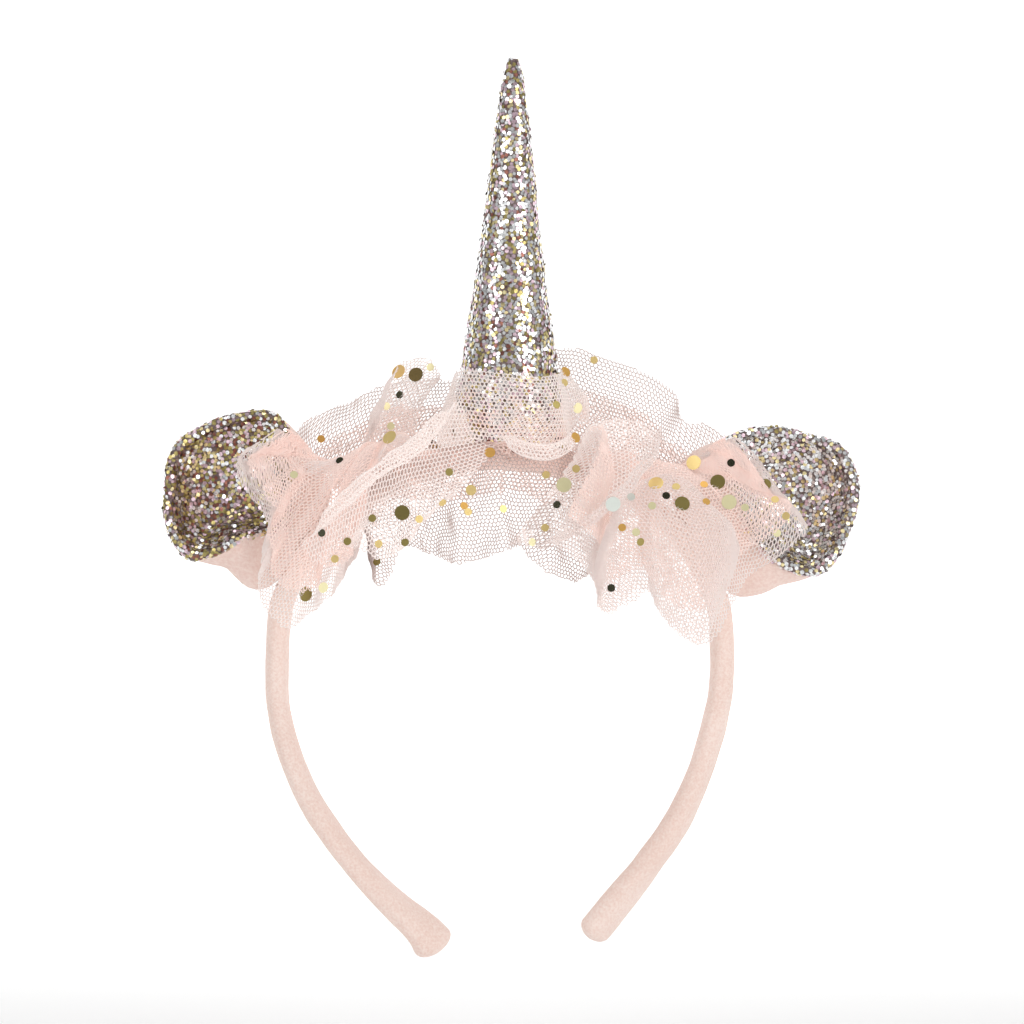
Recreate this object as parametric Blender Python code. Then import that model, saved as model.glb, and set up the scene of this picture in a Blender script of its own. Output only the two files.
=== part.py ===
"""Child's unicorn headband: a fabric-covered band, two cupped ears, a tapered horn and gathered tulle.

Metres, +Z up. The wearer faces -Y, and +X is on the right when the piece is seen from the front.
The origin is the underside of the band at the crown, where it sits on the head.
"""

import math

import bmesh
import bpy
from mathutils import Euler, Vector

CLEARANCE = 0.0003

# Band, measured on its centreline
BAND_THICKNESS = 0.0066
BAND_WIDTH = 0.0130
CROWN_HALF_SPAN = 0.0624
CROWN_RISE = 0.0523
CROWN_CENTRE_Z = BAND_THICKNESS / 2 - CROWN_RISE
CROWN_STEPS = 22
BAND_SIDES = 14
BAND_SQUARENESS = 2.6
LEG_POINTS_PER_ROW = 2
TIP_ROUND_DEG = (35, 62, 82)
TIP_ROUND_LENGTH = 0.0034

# One row for each place down a leg; twist turns the flat of the band towards the front
LEG_COLUMNS = ("x", "z", "thickness", "width", "twist_deg")
LEFT_LEG = (
    (-0.0625, -0.0580, 0.0066, 0.0130, 0),
    (-0.0612, -0.0710, 0.0066, 0.0128, 0),
    (-0.0560, -0.0868, 0.0066, 0.0126, 3),
    (-0.0485, -0.1000, 0.0066, 0.0124, 6),
    (-0.0392, -0.1120, 0.0066, 0.0122, 10),
    (-0.0292, -0.1219, 0.0067, 0.0120, 22),
    (-0.0216, -0.1288, 0.0068, 0.0119, 42),
    (-0.0190, -0.1322, 0.0070, 0.0119, 62),
)
RIGHT_LEG = (
    (0.0621, -0.0580, 0.0070, 0.0130, 0),
    (0.0604, -0.0690, 0.0070, 0.0128, -3),
    (0.0563, -0.0835, 0.0070, 0.0126, -8),
    (0.0500, -0.0977, 0.0070, 0.0124, -14),
    (0.0413, -0.1104, 0.0071, 0.0122, -20),
    (0.0325, -0.1213, 0.0072, 0.0120, -27),
    (0.0268, -0.1283, 0.0073, 0.0118, -32),
)

# Horn, built upright and then leaned forward
HORN_BASE = (0.0022, 0.0, 0.0052)
HORN_LEAN_FORWARD_DEG = 6.0
HORN_LEAN_RIGHT_DEG = 0.8
HORN_SIDES = 24
HORN_COLUMNS = ("height", "radius")
HORN_ROWS = (
    (0.0000, 0.0166),
    (0.0070, 0.0158),
    (0.0260, 0.0131),
    (0.0430, 0.0103),
    (0.0605, 0.0080),
    (0.0775, 0.0062),
    (0.0890, 0.0048),
    (0.0990, 0.0035),
    (0.1050, 0.0027),
    (0.1082, 0.0018),
    (0.1095, 0.0008),
)

# Ears: a cup of felt with a padded bowl of glitter cloth inside it. A row gives, for one direction
# round the ear seen from the front, how far out the rim and the fullest part of the cup lie, and
# how far back the rim is.
FELT_WALL = 0.0018
EAR_ROUND_STEPS = 34
EAR_BACK_Y = 0.0090
EAR_COLUMNS = ("turn_deg", "rim", "belly", "rim_y")
LEFT_EAR_MIDDLE = (-0.0762, -0.0062)
LEFT_EAR = (
    (0, 0.0165, 0.0294, -0.0075),
    (20, 0.0174, 0.0270, -0.0065),
    (38, 0.0213, 0.0258, -0.0055),
    (60, 0.0235, 0.0252, -0.0050),
    (85, 0.0206, 0.0214, -0.0045),
    (112, 0.0179, 0.0192, -0.0050),
    (135, 0.0178, 0.0192, -0.0060),
    (158, 0.0168, 0.0178, -0.0070),
    (180, 0.0160, 0.0168, -0.0080),
    (213, 0.0184, 0.0189, -0.0100),
    (237, 0.0202, 0.0209, -0.0115),
    (256, 0.0165, 0.0209, -0.0125),
    (273, 0.0138, 0.0221, -0.0130),
    (287, 0.0132, 0.0290, -0.0130),
    (300, 0.0136, 0.0290, -0.0120),
    (315, 0.0150, 0.0260, -0.0105),
    (330, 0.0180, 0.0253, -0.0095),
    (345, 0.0172, 0.0276, -0.0085),
)
RIGHT_EAR_MIDDLE = (0.0826, -0.0070)
RIGHT_EAR = (
    (5, 0.0157, 0.0171, -0.0080),
    (28, 0.0164, 0.0175, -0.0070),
    (44, 0.0166, 0.0182, -0.0060),
    (62, 0.0165, 0.0175, -0.0050),
    (85, 0.0163, 0.0172, -0.0045),
    (113, 0.0192, 0.0201, -0.0050),
    (131, 0.0223, 0.0233, -0.0055),
    (144, 0.0236, 0.0258, -0.0060),
    (160, 0.0202, 0.0322, -0.0065),
    (174, 0.0176, 0.0352, -0.0075),
    (187, 0.0160, 0.0348, -0.0085),
    (202, 0.0156, 0.0308, -0.0095),
    (220, 0.0164, 0.0304, -0.0110),
    (236, 0.0173, 0.0338, -0.0120),
    (247, 0.0179, 0.0308, -0.0125),
    (258, 0.0185, 0.0262, -0.0130),
    (276, 0.0203, 0.0237, -0.0130),
    (291, 0.0214, 0.0220, -0.0125),
    (308, 0.0190, 0.0196, -0.0110),
    (330, 0.0156, 0.0169, -0.0095),
)
# From the rim to the deepest point: how deep, how far swollen from rim to belly, and drawn in
CUP_COLUMNS = ("depth", "swell", "shrink")
CUP_ROWS = (
    (0.00, 0.00, 1.00),
    (0.14, 0.45, 1.00),
    (0.34, 0.92, 1.00),
    (0.58, 1.00, 0.94),
    (0.80, 1.00, 0.72),
    (0.94, 1.00, 0.40),
)
# The glitter bowl, from the rim to its middle: how far in from the rim and how far down
BOWL_MIDDLE_Y = 0.0005
BOWL_COLUMNS = ("reach", "fall")
BOWL_ROWS = (
    (0.93, 0.17),
    (0.82, 0.38),
    (0.66, 0.62),
    (0.46, 0.83),
    (0.22, 0.96),
)

# Tulle: each piece is a table with a row for each ridge or valley of its folds. root_deg is the
# place on the crown's ellipse and the hem is where that fold ends. Rise, push and lean say how
# far the cloth climbs off the band, stands away from it and leans sideways before it falls.
TULLE_WALL = 0.0010
FOLD_POINTS = 2
HEM_STEPS = 6
FOLD_COLUMNS = ("root_deg", "rise", "push", "lean", "hem_x", "hem_y", "hem_z")
LEFT_WING = (
    (131.0, 0.0160, 0.0060, -0.001, -0.0613, -0.0130, 0.0118),
    (129.5, 0.0155, 0.0080, -0.003, -0.0678, -0.0190, 0.0070),
    (128.0, 0.0150, 0.0095, -0.005, -0.0728, -0.0175, 0.0028),
    (126.5, 0.0145, 0.0110, -0.007, -0.0720, -0.0215, -0.0034),
    (125.0, 0.0140, 0.0125, -0.009, -0.0683, -0.0185, -0.0084),
    (123.5, 0.0150, 0.0135, -0.010, -0.0644, -0.0210, -0.0146),
    (122.0, 0.0160, 0.0140, -0.010, -0.0655, -0.0190, -0.0210),
    (120.5, 0.0170, 0.0150, -0.009, -0.0661, -0.0215, -0.0274),
    (119.0, 0.0180, 0.0155, -0.008, -0.0666, -0.0190, -0.0353),
    (117.5, 0.0190, 0.0160, -0.007, -0.0638, -0.0210, -0.0403),
    (116.0, 0.0200, 0.0165, -0.006, -0.0582, -0.0255, -0.0442),
    (114.5, 0.0205, 0.0160, -0.005, -0.0526, -0.0210, -0.0403),
    (113.0, 0.0210, 0.0155, -0.004, -0.0476, -0.0255, -0.0364),
    (111.5, 0.0215, 0.0150, -0.003, -0.0434, -0.0210, -0.0302),
    (110.0, 0.0215, 0.0145, -0.002, -0.0392, -0.0230, -0.0241),
)
RIGHT_WING = (
    (73.0, 0.0220, 0.0110, 0.014, 0.0140, -0.0325, -0.0205),
    (72.2, 0.0215, 0.0115, 0.012, 0.0190, -0.0315, -0.0235),
    (71.4, 0.0205, 0.0120, 0.009, 0.0240, -0.0285, -0.0290),
    (70.6, 0.0195, 0.0130, 0.006, 0.0265, -0.0270, -0.0355),
    (69.7, 0.0180, 0.0140, 0.004, 0.0297, -0.0285, -0.0403),
    (68.5, 0.0170, 0.0150, 0.003, 0.0336, -0.0250, -0.0381),
    (67.0, 0.0165, 0.0160, 0.003, 0.0375, -0.0235, -0.0364),
    (65.5, 0.0160, 0.0170, 0.003, 0.0412, -0.0210, -0.0336),
    (64.0, 0.0155, 0.0180, 0.003, 0.0442, -0.0235, -0.0398),
    (62.5, 0.0150, 0.0190, 0.003, 0.0482, -0.0275, -0.0442),
    (61.0, 0.0150, 0.0200, 0.004, 0.0535, -0.0315, -0.0484),
    (59.5, 0.0150, 0.0205, 0.005, 0.0590, -0.0325, -0.0470),
    (58.0, 0.0145, 0.0200, 0.006, 0.0635, -0.0295, -0.0385),
    (56.5, 0.0140, 0.0185, 0.007, 0.0680, -0.0235, -0.0305),
    (55.0, 0.0135, 0.0165, 0.008, 0.0725, -0.0195, -0.0272),
    (53.5, 0.0130, 0.0150, 0.008, 0.0785, -0.0215, -0.0235),
    (52.0, 0.0130, 0.0135, 0.007, 0.0850, -0.0225, -0.0165),
    (51.0, 0.0130, 0.0120, 0.006, 0.0820, -0.0190, -0.0110),
    (50.0, 0.0135, 0.0105, 0.005, 0.0775, -0.0205, -0.0058),
    (49.0, 0.0145, 0.0085, 0.003, 0.0715, -0.0175, 0.0032),
    (48.0, 0.0155, 0.0060, 0.001, 0.0655, -0.0140, 0.0092),
)
MIDDLE_FRILL = (
    (127.0, 0.0010, 0.0020, 0.0, -0.0370, -0.0105, -0.0196),
    (125.0, 0.0010, 0.0025, 0.0, -0.0353, -0.0130, -0.0286),
    (123.0, 0.0010, 0.0030, 0.0, -0.0328, -0.0165, -0.0325),
    (121.0, 0.0010, 0.0030, 0.0, -0.0297, -0.0130, -0.0286),
    (118.5, 0.0010, 0.0030, 0.0, -0.0274, -0.0105, -0.0224),
    (116.0, 0.0010, 0.0030, 0.0, -0.0252, -0.0130, -0.0213),
    (112.5, 0.0010, 0.0035, 0.0, -0.0213, -0.0170, -0.0230),
    (109.0, 0.0010, 0.0035, 0.0, -0.0179, -0.0145, -0.0241),
    (105.0, 0.0005, 0.0035, 0.0, -0.0140, -0.0185, -0.0258),
    (101.0, 0.0000, 0.0040, 0.0, -0.0106, -0.0235, -0.0263),
    (97.5, 0.0000, 0.0040, 0.0, -0.0062, -0.0200, -0.0252),
    (94.0, 0.0000, 0.0040, 0.0, -0.0022, -0.0240, -0.0241),
    (90.5, 0.0000, 0.0040, 0.0, 0.0017, -0.0270, -0.0227),
    (86.5, 0.0000, 0.0040, 0.0, 0.0056, -0.0215, -0.0218),
    (82.0, 0.0000, 0.0040, 0.0, 0.0092, -0.0240, -0.0258),
    (77.5, 0.0005, 0.0040, 0.0, 0.0126, -0.0275, -0.0286),
    (73.0, 0.0010, 0.0035, 0.0, 0.0174, -0.0225, -0.0302),
    (68.0, 0.0010, 0.0030, 0.0, 0.0218, -0.0180, -0.0314),
    (63.0, 0.0010, 0.0025, 0.0, 0.0252, -0.0135, -0.0274),
    (58.0, 0.0010, 0.0020, 0.0, 0.0280, -0.0110, -0.0224),
)
LEFT_PUFF = (
    (124.5, 0.0080, 0.0025, -0.001, -0.0348, -0.0042, 0.0110),
    (122.0, 0.0090, 0.0030, -0.001, -0.0319, -0.0065, 0.0190),
    (119.5, 0.0120, 0.0030, -0.002, -0.0288, -0.0015, 0.0297),
    (117.0, 0.0130, 0.0020, -0.002, -0.0238, 0.0025, 0.0314),
    (114.5, 0.0130, 0.0020, -0.002, -0.0196, -0.0030, 0.0312),
    (112.0, 0.0120, 0.0010, -0.002, -0.0168, 0.0010, 0.0274),
    (109.5, 0.0110, 0.0000, -0.001, -0.0166, 0.0045, 0.0250),
)
BACK_FRILL = (
    (131.0, 0.0080, 0.0020, -0.006, -0.0594, 0.0125, 0.0084),
    (128.5, 0.0090, 0.0040, -0.006, -0.0552, 0.0160, 0.0140),
    (125.0, 0.0100, 0.0045, -0.005, -0.0496, 0.0140, 0.0170),
    (121.5, 0.0110, 0.0050, -0.004, -0.0428, 0.0175, 0.0199),
    (118.0, 0.0110, 0.0060, -0.003, -0.0372, 0.0155, 0.0227),
    (113.5, 0.0110, 0.0065, -0.002, -0.0302, 0.0190, 0.0252),
    (109.0, 0.0110, 0.0065, -0.001, -0.0224, 0.0180, 0.0263),
    (104.5, 0.0110, 0.0060, 0.000, -0.0140, 0.0215, 0.0258),
    (99.0, 0.0110, 0.0050, 0.000, -0.0062, 0.0210, 0.0274),
    (93.0, 0.0110, 0.0050, 0.000, 0.0014, 0.0230, 0.0294),
    (87.0, 0.0120, 0.0050, 0.000, 0.0084, 0.0215, 0.0314),
    (81.0, 0.0120, 0.0060, 0.001, 0.0157, 0.0220, 0.0347),
    (75.0, 0.0120, 0.0065, 0.002, 0.0230, 0.0180, 0.0347),
    (69.5, 0.0120, 0.0070, 0.003, 0.0314, 0.0195, 0.0316),
    (64.5, 0.0110, 0.0065, 0.003, 0.0398, 0.0155, 0.0283),
    (60.0, 0.0100, 0.0060, 0.004, 0.0493, 0.0175, 0.0227),
    (56.5, 0.0090, 0.0050, 0.004, 0.0515, 0.0135, 0.0146),
    (53.0, 0.0090, 0.0045, 0.004, 0.0574, 0.0160, 0.0137),
    (50.0, 0.0080, 0.0035, 0.005, 0.0627, 0.0130, 0.0109),
    (47.5, 0.0070, 0.0020, 0.005, 0.0676, 0.0145, 0.0078),
)
# Seams: how far above the band's middle line and how far forward or back each piece is sewn
SEAM_COLUMNS = ("name", "rows", "side", "above", "forward")
SEAMS = (
    ("tulle_wing_left", LEFT_WING, -1, 0.0040, 0.0030),
    ("tulle_wing_right", RIGHT_WING, -1, 0.0040, 0.0030),
    ("tulle_middle_frill", MIDDLE_FRILL, -1, 0.0010, 0.0074),
    ("tulle_puff_left", LEFT_PUFF, -1, 0.0043, -0.0010),
    ("tulle_back_frill", BACK_FRILL, 1, 0.0010, 0.0074),
)
HORN_BYPASS = 0.0182
HORN_BYPASS_SHARPNESS = 4

# The collar is wrapped round the front and sides of the horn and falls over its foot
COLLAR_COLUMNS = ("psi_deg", "top_z", "hem_x", "hem_y", "hem_z", "flare")
HORN_COLLAR = (
    (152, 0.0230, -0.0145, 0.0095, 0.0095, 0.001),
    (174, 0.0265, -0.0168, 0.0020, 0.0085, 0.001),
    (196, 0.0285, -0.0172, -0.0075, 0.0070, 0.002),
    (216, 0.0290, -0.0150, -0.0150, 0.0060, 0.003),
    (235, 0.0290, -0.0100, -0.0205, 0.0065, 0.003),
    (252, 0.0285, -0.0040, -0.0222, 0.0082, 0.003),
    (268, 0.0280, 0.0025, -0.0240, 0.0070, 0.003),
    (284, 0.0275, 0.0075, -0.0245, 0.0055, 0.004),
    (300, 0.0270, 0.0137, -0.0242, 0.0045, 0.005),
    (318, 0.0275, 0.0180, -0.0195, 0.0078, 0.004),
    (336, 0.0285, 0.0192, -0.0110, 0.0108, 0.003),
    (354, 0.0290, 0.0246, -0.0040, 0.0130, 0.004),
    (372, 0.0285, 0.0236, 0.0035, 0.0150, 0.003),
    (392, 0.0260, 0.0200, 0.0095, 0.0110, 0.001),
)
COLLAR_GAP = 0.0013

MATERIALS = {
    "pink_velour": ((0.90, 0.70, 0.64), 0.85, 0.0),
    "glitter_cloth": ((0.62, 0.57, 0.54), 0.30, 0.8),
    "pale_pink_tulle": ((0.93, 0.82, 0.78), 0.75, 0.0),
}


def clear_scene():
    for item in list(bpy.data.objects):
        bpy.data.objects.remove(item)


def material(name):
    """A Principled material of the named colour, roughness and metallic value."""
    found = bpy.data.materials.get(name)
    if found:
        return found
    colour, roughness, metallic = MATERIALS[name]
    made = bpy.data.materials.new(name)
    made.use_nodes = True
    shader = made.node_tree.nodes["Principled BSDF"]
    shader.inputs["Base Color"].default_value = (*colour, 1)
    shader.inputs["Roughness"].default_value = roughness
    shader.inputs["Metallic"].default_value = metallic
    return made


def add_object(name, bm, material_name):
    """Turns a bmesh into a named, smooth-shaded object of the scene."""
    bmesh.ops.recalc_face_normals(bm, faces=bm.faces)
    mesh = bpy.data.meshes.new(name)
    bm.to_mesh(mesh)
    bm.free()
    mesh.shade_smooth()
    mesh.materials.append(material(material_name))
    made = bpy.data.objects.new(name, mesh)
    bpy.context.scene.collection.objects.link(made)
    return made


def named(columns, row):
    return dict(zip(columns, row))


def curve_point(a, b, c, d, t):
    """The point a share t of the way from b to c, on a smooth curve that also heeds a and d."""
    found = []
    for w, x, y, z in zip(a, b, c, d):
        square = (2 * w - 5 * x + 4 * y - z) * t**2
        cube = (3 * x - w - 3 * y + z) * t**3
        found.append(0.5 * (2 * x + (y - w) * t + square + cube))
    return tuple(found)


def smooth_rows(rows, per_span):
    """Points of a curve through the rows, number by number, with per_span steps between two rows."""
    padded = [rows[0], *rows, rows[-1]]
    found = []
    for i in range(len(rows) - 1):
        found += [curve_point(*padded[i : i + 4], step / per_span) for step in range(per_span)]
    found.append(tuple(rows[-1]))
    return found


def crown_point(angle_deg):
    """The band's centreline at an angle round the crown, and the direction out of the head there."""
    angle = math.radians(angle_deg)
    point = Vector((CROWN_HALF_SPAN * math.cos(angle), 0, CROWN_CENTRE_Z + CROWN_RISE * math.sin(angle)))
    outward = Vector((CROWN_RISE * math.cos(angle), 0, CROWN_HALF_SPAN * math.sin(angle)))
    return point, outward.normalized()


def skin(bm, loops):
    """Faces between closed rings that follow one another."""
    for first, second in zip(loops, loops[1:]):
        for i in range(len(first)):
            j = (i + 1) % len(first)
            bm.faces.new((first[i], first[j], second[j], second[i]))


def close_ring(bm, loop, tip):
    """Faces from a closed ring to one point."""
    pole = bm.verts.new(tip)
    for i in range(len(loop)):
        bm.faces.new((loop[i], loop[(i + 1) % len(loop)], pole))
    return pole


def loft(rings, start, end):
    """A closed bmesh through rings of points, ended by one point before the first and one after the last."""
    bm = bmesh.new()
    loops = [[bm.verts.new(p) for p in ring] for ring in rings]
    skin(bm, loops)
    close_ring(bm, loops[0], start)
    close_ring(bm, loops[-1], end)
    return bm


def band_stations():
    """Rows of x, z, thickness, width and twist from the left tip over the crown to the right tip."""
    crown = []
    for step in range(1, CROWN_STEPS):
        point, _ = crown_point(180 - 180 * step / CROWN_STEPS)
        crown.append((point.x, point.z, BAND_THICKNESS, BAND_WIDTH, 0))
    left = smooth_rows(LEFT_LEG, LEG_POINTS_PER_ROW)
    right = smooth_rows(RIGHT_LEG, LEG_POINTS_PER_ROW)
    return left[::-1] + crown + right


def band_ring(centre, tangent, thickness, width, twist_deg):
    """A rounded-oblong section of the band, square to the tangent."""
    twist = math.radians(twist_deg)
    across = Vector((0, 1, 0))
    out = across.cross(tangent).normalized()
    flat = across * math.cos(twist) + out * math.sin(twist)
    face = out * math.cos(twist) - across * math.sin(twist)
    ring = []
    for side in range(BAND_SIDES):
        angle = 2 * math.pi * side / BAND_SIDES
        c, s = math.cos(angle), math.sin(angle)
        power = 2 / BAND_SQUARENESS
        ring.append(
            centre
            + face * (math.copysign(abs(c) ** power, c) * thickness / 2)
            + flat * (math.copysign(abs(s) ** power, s) * width / 2)
        )
    return ring


def band_mesh(grow=0.0):
    """The covered band as one closed form, or its clearance shape when it is grown."""
    rows = [named(LEG_COLUMNS, row) for row in band_stations()]
    points = [Vector((row["x"], 0, row["z"])) for row in rows]
    rings = []
    for i, row in enumerate(rows):
        before, after = points[max(i - 1, 0)], points[min(i + 1, len(points) - 1)]
        tangent = (after - before).normalized()
        size = (row["thickness"] + 2 * grow, row["width"] + 2 * grow)
        rings.append(band_ring(points[i], tangent, *size, row["twist_deg"]))
    ends = []
    for index, inner in ((0, 1), (-1, -2)):
        way = (points[index] - points[inner]).normalized()
        flip = -1 if index == 0 else 1
        row = rows[index]
        caps = []
        for lift_deg in TIP_ROUND_DEG:
            lift = math.radians(lift_deg)
            shrink = math.cos(lift)
            centre = points[index] + way * (TIP_ROUND_LENGTH * math.sin(lift))
            size = ((row["thickness"] + 2 * grow) * shrink, (row["width"] + 2 * grow) * shrink)
            caps.append(band_ring(centre, way * flip, *size, row["twist_deg"]))
        ends.append((caps, points[index] + way * TIP_ROUND_LENGTH))
    rings = ends[0][0][::-1] + rings + ends[1][0]
    return loft(rings, ends[0][1], ends[1][1])


def band_clearance():
    """A hidden cutter: the band with the small gap that its neighbours keep."""
    cutter = add_object("band_clearance", band_mesh(grow=CLEARANCE), "pink_velour")
    cutter.hide_render = True
    cutter.display_type = "WIRE"
    return cutter


def fit_to_band(piece, cutter):
    """Cuts the place where a piece straddles or meets the band."""
    cut = piece.modifiers.new("seat", "BOOLEAN")
    cut.operation = "DIFFERENCE"
    cut.object = cutter


def horn():
    rows = [named(HORN_COLUMNS, row) for row in HORN_ROWS]
    rings = []
    for row in rows:
        ring = []
        for side in range(HORN_SIDES):
            angle = 2 * math.pi * side / HORN_SIDES
            ring.append(Vector((row["radius"] * math.cos(angle), row["radius"] * math.sin(angle), row["height"])))
        rings.append(ring)
    tip = Vector((0, 0, rows[-1]["height"] + rows[-1]["radius"] / 2))
    made = add_object("horn", loft(rings, Vector((0, 0, 0)), tip), "glitter_cloth")
    made.location = HORN_BASE
    made.rotation_euler = Euler((math.radians(HORN_LEAN_FORWARD_DEG), math.radians(HORN_LEAN_RIGHT_DEG), 0))
    return made


def around(rows, turn):
    """The numbers of a table that goes round in degrees, smoothed, at one direction."""
    turns = [row[0] for row in rows]
    last = len(rows) - 1
    index = max((i for i in range(len(rows)) if turns[i] <= turn), default=last)
    start = turns[index] if turns[index] <= turn else turns[index] - 360
    span = (turns[(index + 1) % len(rows)] - start) % 360
    t = (turn - start) / span
    a, b, c, d = (rows[(index + shift) % len(rows)][1:] for shift in (-1, 0, 1, 2))
    return curve_point(a, b, c, d, t)


def ear_point(middle, rows, turn, cup):
    """A point of the ear's inner felt face: one direction round it, one ring of the cup."""
    rim, belly, rim_y = around(rows, turn)
    belly -= FELT_WALL
    rim = min(rim, belly)
    reach = (rim + (belly - rim) * cup["swell"]) * cup["shrink"]
    angle = math.radians(turn)
    y = rim_y + (EAR_BACK_Y - FELT_WALL - rim_y) * cup["depth"]
    return (middle[0] + reach * math.cos(angle), y, middle[1] + reach * math.sin(angle))


def felt_face(middle, rows):
    """An open bmesh of the felt's inner face, its ring at the rim and its deepest point."""
    bm = bmesh.new()
    loops = []
    for row in CUP_ROWS:
        cup = named(CUP_COLUMNS, row)
        turns = [360 * step / EAR_ROUND_STEPS for step in range(EAR_ROUND_STEPS)]
        loops.append([bm.verts.new(ear_point(middle, rows, turn, cup)) for turn in turns])
    skin(bm, loops)
    pole = close_ring(bm, loops[-1], (middle[0], EAR_BACK_Y - FELT_WALL, middle[1]))
    bmesh.ops.recalc_face_normals(bm, faces=bm.faces)
    bm.normal_update()
    return bm, loops[0], pole


def ear_shell(name, middle, rows):
    """The felt cup, whose open side faces the front."""
    bm, _, _ = felt_face(middle, rows)
    made = add_object(name, bm, "pink_velour")
    thicken = made.modifiers.new("wall", "SOLIDIFY")
    thicken.thickness = FELT_WALL
    thicken.offset = 1
    return made


def ear_lining(name, middle, rows):
    """The padded lining: its back lies along the felt, and its front is a shallow bowl."""
    bm, rim, pole = felt_face(middle, rows)
    inward = -CLEARANCE if pole.normal.y > 0 else CLEARANCE
    moved = [(point, point.co + point.normal * inward) for point in bm.verts]
    for point, place in moved:
        point.co = place
    centre = Vector((middle[0], BOWL_MIDDLE_Y, middle[1]))
    loops = [rim]
    for row in BOWL_ROWS:
        bowl = named(BOWL_COLUMNS, row)
        ring = []
        for edge in rim:
            place = centre.lerp(edge.co, bowl["reach"])
            place.y = edge.co.y + (centre.y - edge.co.y) * bowl["fall"]
            ring.append(bm.verts.new(place))
        loops.append(ring)
    skin(bm, loops)
    close_ring(bm, loops[-1], centre)
    return add_object(name, bm, "glitter_cloth")


def ears(cutter):
    for side, middle, rows in (("left", LEFT_EAR_MIDDLE, LEFT_EAR), ("right", RIGHT_EAR_MIDDLE, RIGHT_EAR)):
        fit_to_band(ear_shell(f"ear_shell_{side}", middle, rows), cutter)
        ear_lining(f"ear_lining_{side}", middle, rows)


def frill_fold(fold, side, above, forward):
    """Root, turning point and hem of one ridge or valley; side is -1 in front of the band, 1 behind."""
    centre, outward = crown_point(fold["root_deg"])
    from_horn = (centre.x - HORN_BASE[0]) / HORN_BYPASS
    swing = (HORN_BYPASS - BAND_WIDTH / 2) * math.exp(-abs(from_horn) ** HORN_BYPASS_SHARPNESS)
    root = centre + outward * above + Vector((0, side * (forward + swing), 0))
    turn = root + outward * fold["rise"] + Vector((fold["lean"], side * fold["push"], 0))
    return root, turn, Vector((fold["hem_x"], fold["hem_y"], fold["hem_z"]))


def horn_radius(height):
    """The horn's radius at a height above its foot."""
    for (low, wide), (high, narrow) in zip(HORN_ROWS, HORN_ROWS[1:]):
        if low <= height <= high:
            return wide + (narrow - wide) * (height - low) / (high - low)
    return HORN_ROWS[0][1]


def collar_fold(fold):
    """Root, turning point and hem of one fold of the collar: it hugs the horn, then falls."""
    angle = math.radians(fold["psi_deg"])
    outward = Vector((math.cos(angle), math.sin(angle), 0))
    lean = Vector((math.tan(math.radians(HORN_LEAN_RIGHT_DEG)), -math.tan(math.radians(HORN_LEAN_FORWARD_DEG)), 1))
    height = fold["top_z"] - HORN_BASE[2]
    root = Vector(HORN_BASE) + lean * height + outward * (horn_radius(height) + COLLAR_GAP)
    hem = Vector((fold["hem_x"], fold["hem_y"], fold["hem_z"]))
    turn = (root + hem) / 2 + outward * fold["flare"]
    return root, turn, hem


def tulle_sheet(name, folds):
    """A wall of tulle through its folds: curved from root to hem, and waved from fold to fold."""
    rows = [tuple(number for point in fold for number in point) for fold in folds]
    bm = bmesh.new()
    lines = []
    for row in smooth_rows(rows, FOLD_POINTS):
        root, turn, hem = Vector(row[0:3]), Vector(row[3:6]), Vector(row[6:9])
        line = []
        for step in range(HEM_STEPS + 1):
            v = step / HEM_STEPS
            line.append(bm.verts.new(root * (1 - v) ** 2 + turn * (2 * v * (1 - v)) + hem * v**2))
        lines.append(line)
    for first, second in zip(lines, lines[1:]):
        for i in range(HEM_STEPS):
            bm.faces.new((first[i], first[i + 1], second[i + 1], second[i]))
    made = add_object(name, bm, "pale_pink_tulle")
    thicken = made.modifiers.new("wall", "SOLIDIFY")
    thicken.thickness = TULLE_WALL
    thicken.offset = 0
    return made


def tulle():
    for seam_row in SEAMS:
        seam = named(SEAM_COLUMNS, seam_row)
        place = (seam["side"], seam["above"], seam["forward"])
        tulle_sheet(seam["name"], [frill_fold(named(FOLD_COLUMNS, row), *place) for row in seam["rows"]])
    tulle_sheet("tulle_horn_collar", [collar_fold(named(COLLAR_COLUMNS, row)) for row in HORN_COLLAR])


def main():
    clear_scene()
    add_object("headband", band_mesh(), "pink_velour")
    cutter = band_clearance()
    fit_to_band(horn(), cutter)
    ears(cutter)
    tulle()


main()
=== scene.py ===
"""Looks of the unicorn headband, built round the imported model.

The velour band, felt ears, flake glitter, open net and foil dots are real geometry, worked out
from the same sizes as the model. Metres, but for tables that say millimetres, +Z up, and the wearer
faces -Y.
"""

import itertools
import math

import bpy
import numpy as np
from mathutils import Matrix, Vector
from mathutils.bvhtree import BVHTree


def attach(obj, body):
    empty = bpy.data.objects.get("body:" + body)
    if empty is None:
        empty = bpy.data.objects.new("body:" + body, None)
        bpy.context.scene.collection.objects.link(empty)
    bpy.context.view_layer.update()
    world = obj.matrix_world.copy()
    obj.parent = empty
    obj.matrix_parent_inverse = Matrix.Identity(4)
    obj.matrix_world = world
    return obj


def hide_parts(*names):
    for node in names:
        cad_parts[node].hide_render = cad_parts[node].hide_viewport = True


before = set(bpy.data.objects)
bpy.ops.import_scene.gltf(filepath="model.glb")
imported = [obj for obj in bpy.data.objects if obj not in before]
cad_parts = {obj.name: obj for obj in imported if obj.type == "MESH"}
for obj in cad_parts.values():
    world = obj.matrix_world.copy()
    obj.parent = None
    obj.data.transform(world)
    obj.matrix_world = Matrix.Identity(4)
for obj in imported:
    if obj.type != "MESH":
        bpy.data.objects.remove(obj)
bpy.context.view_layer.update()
BODY = "root"

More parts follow.
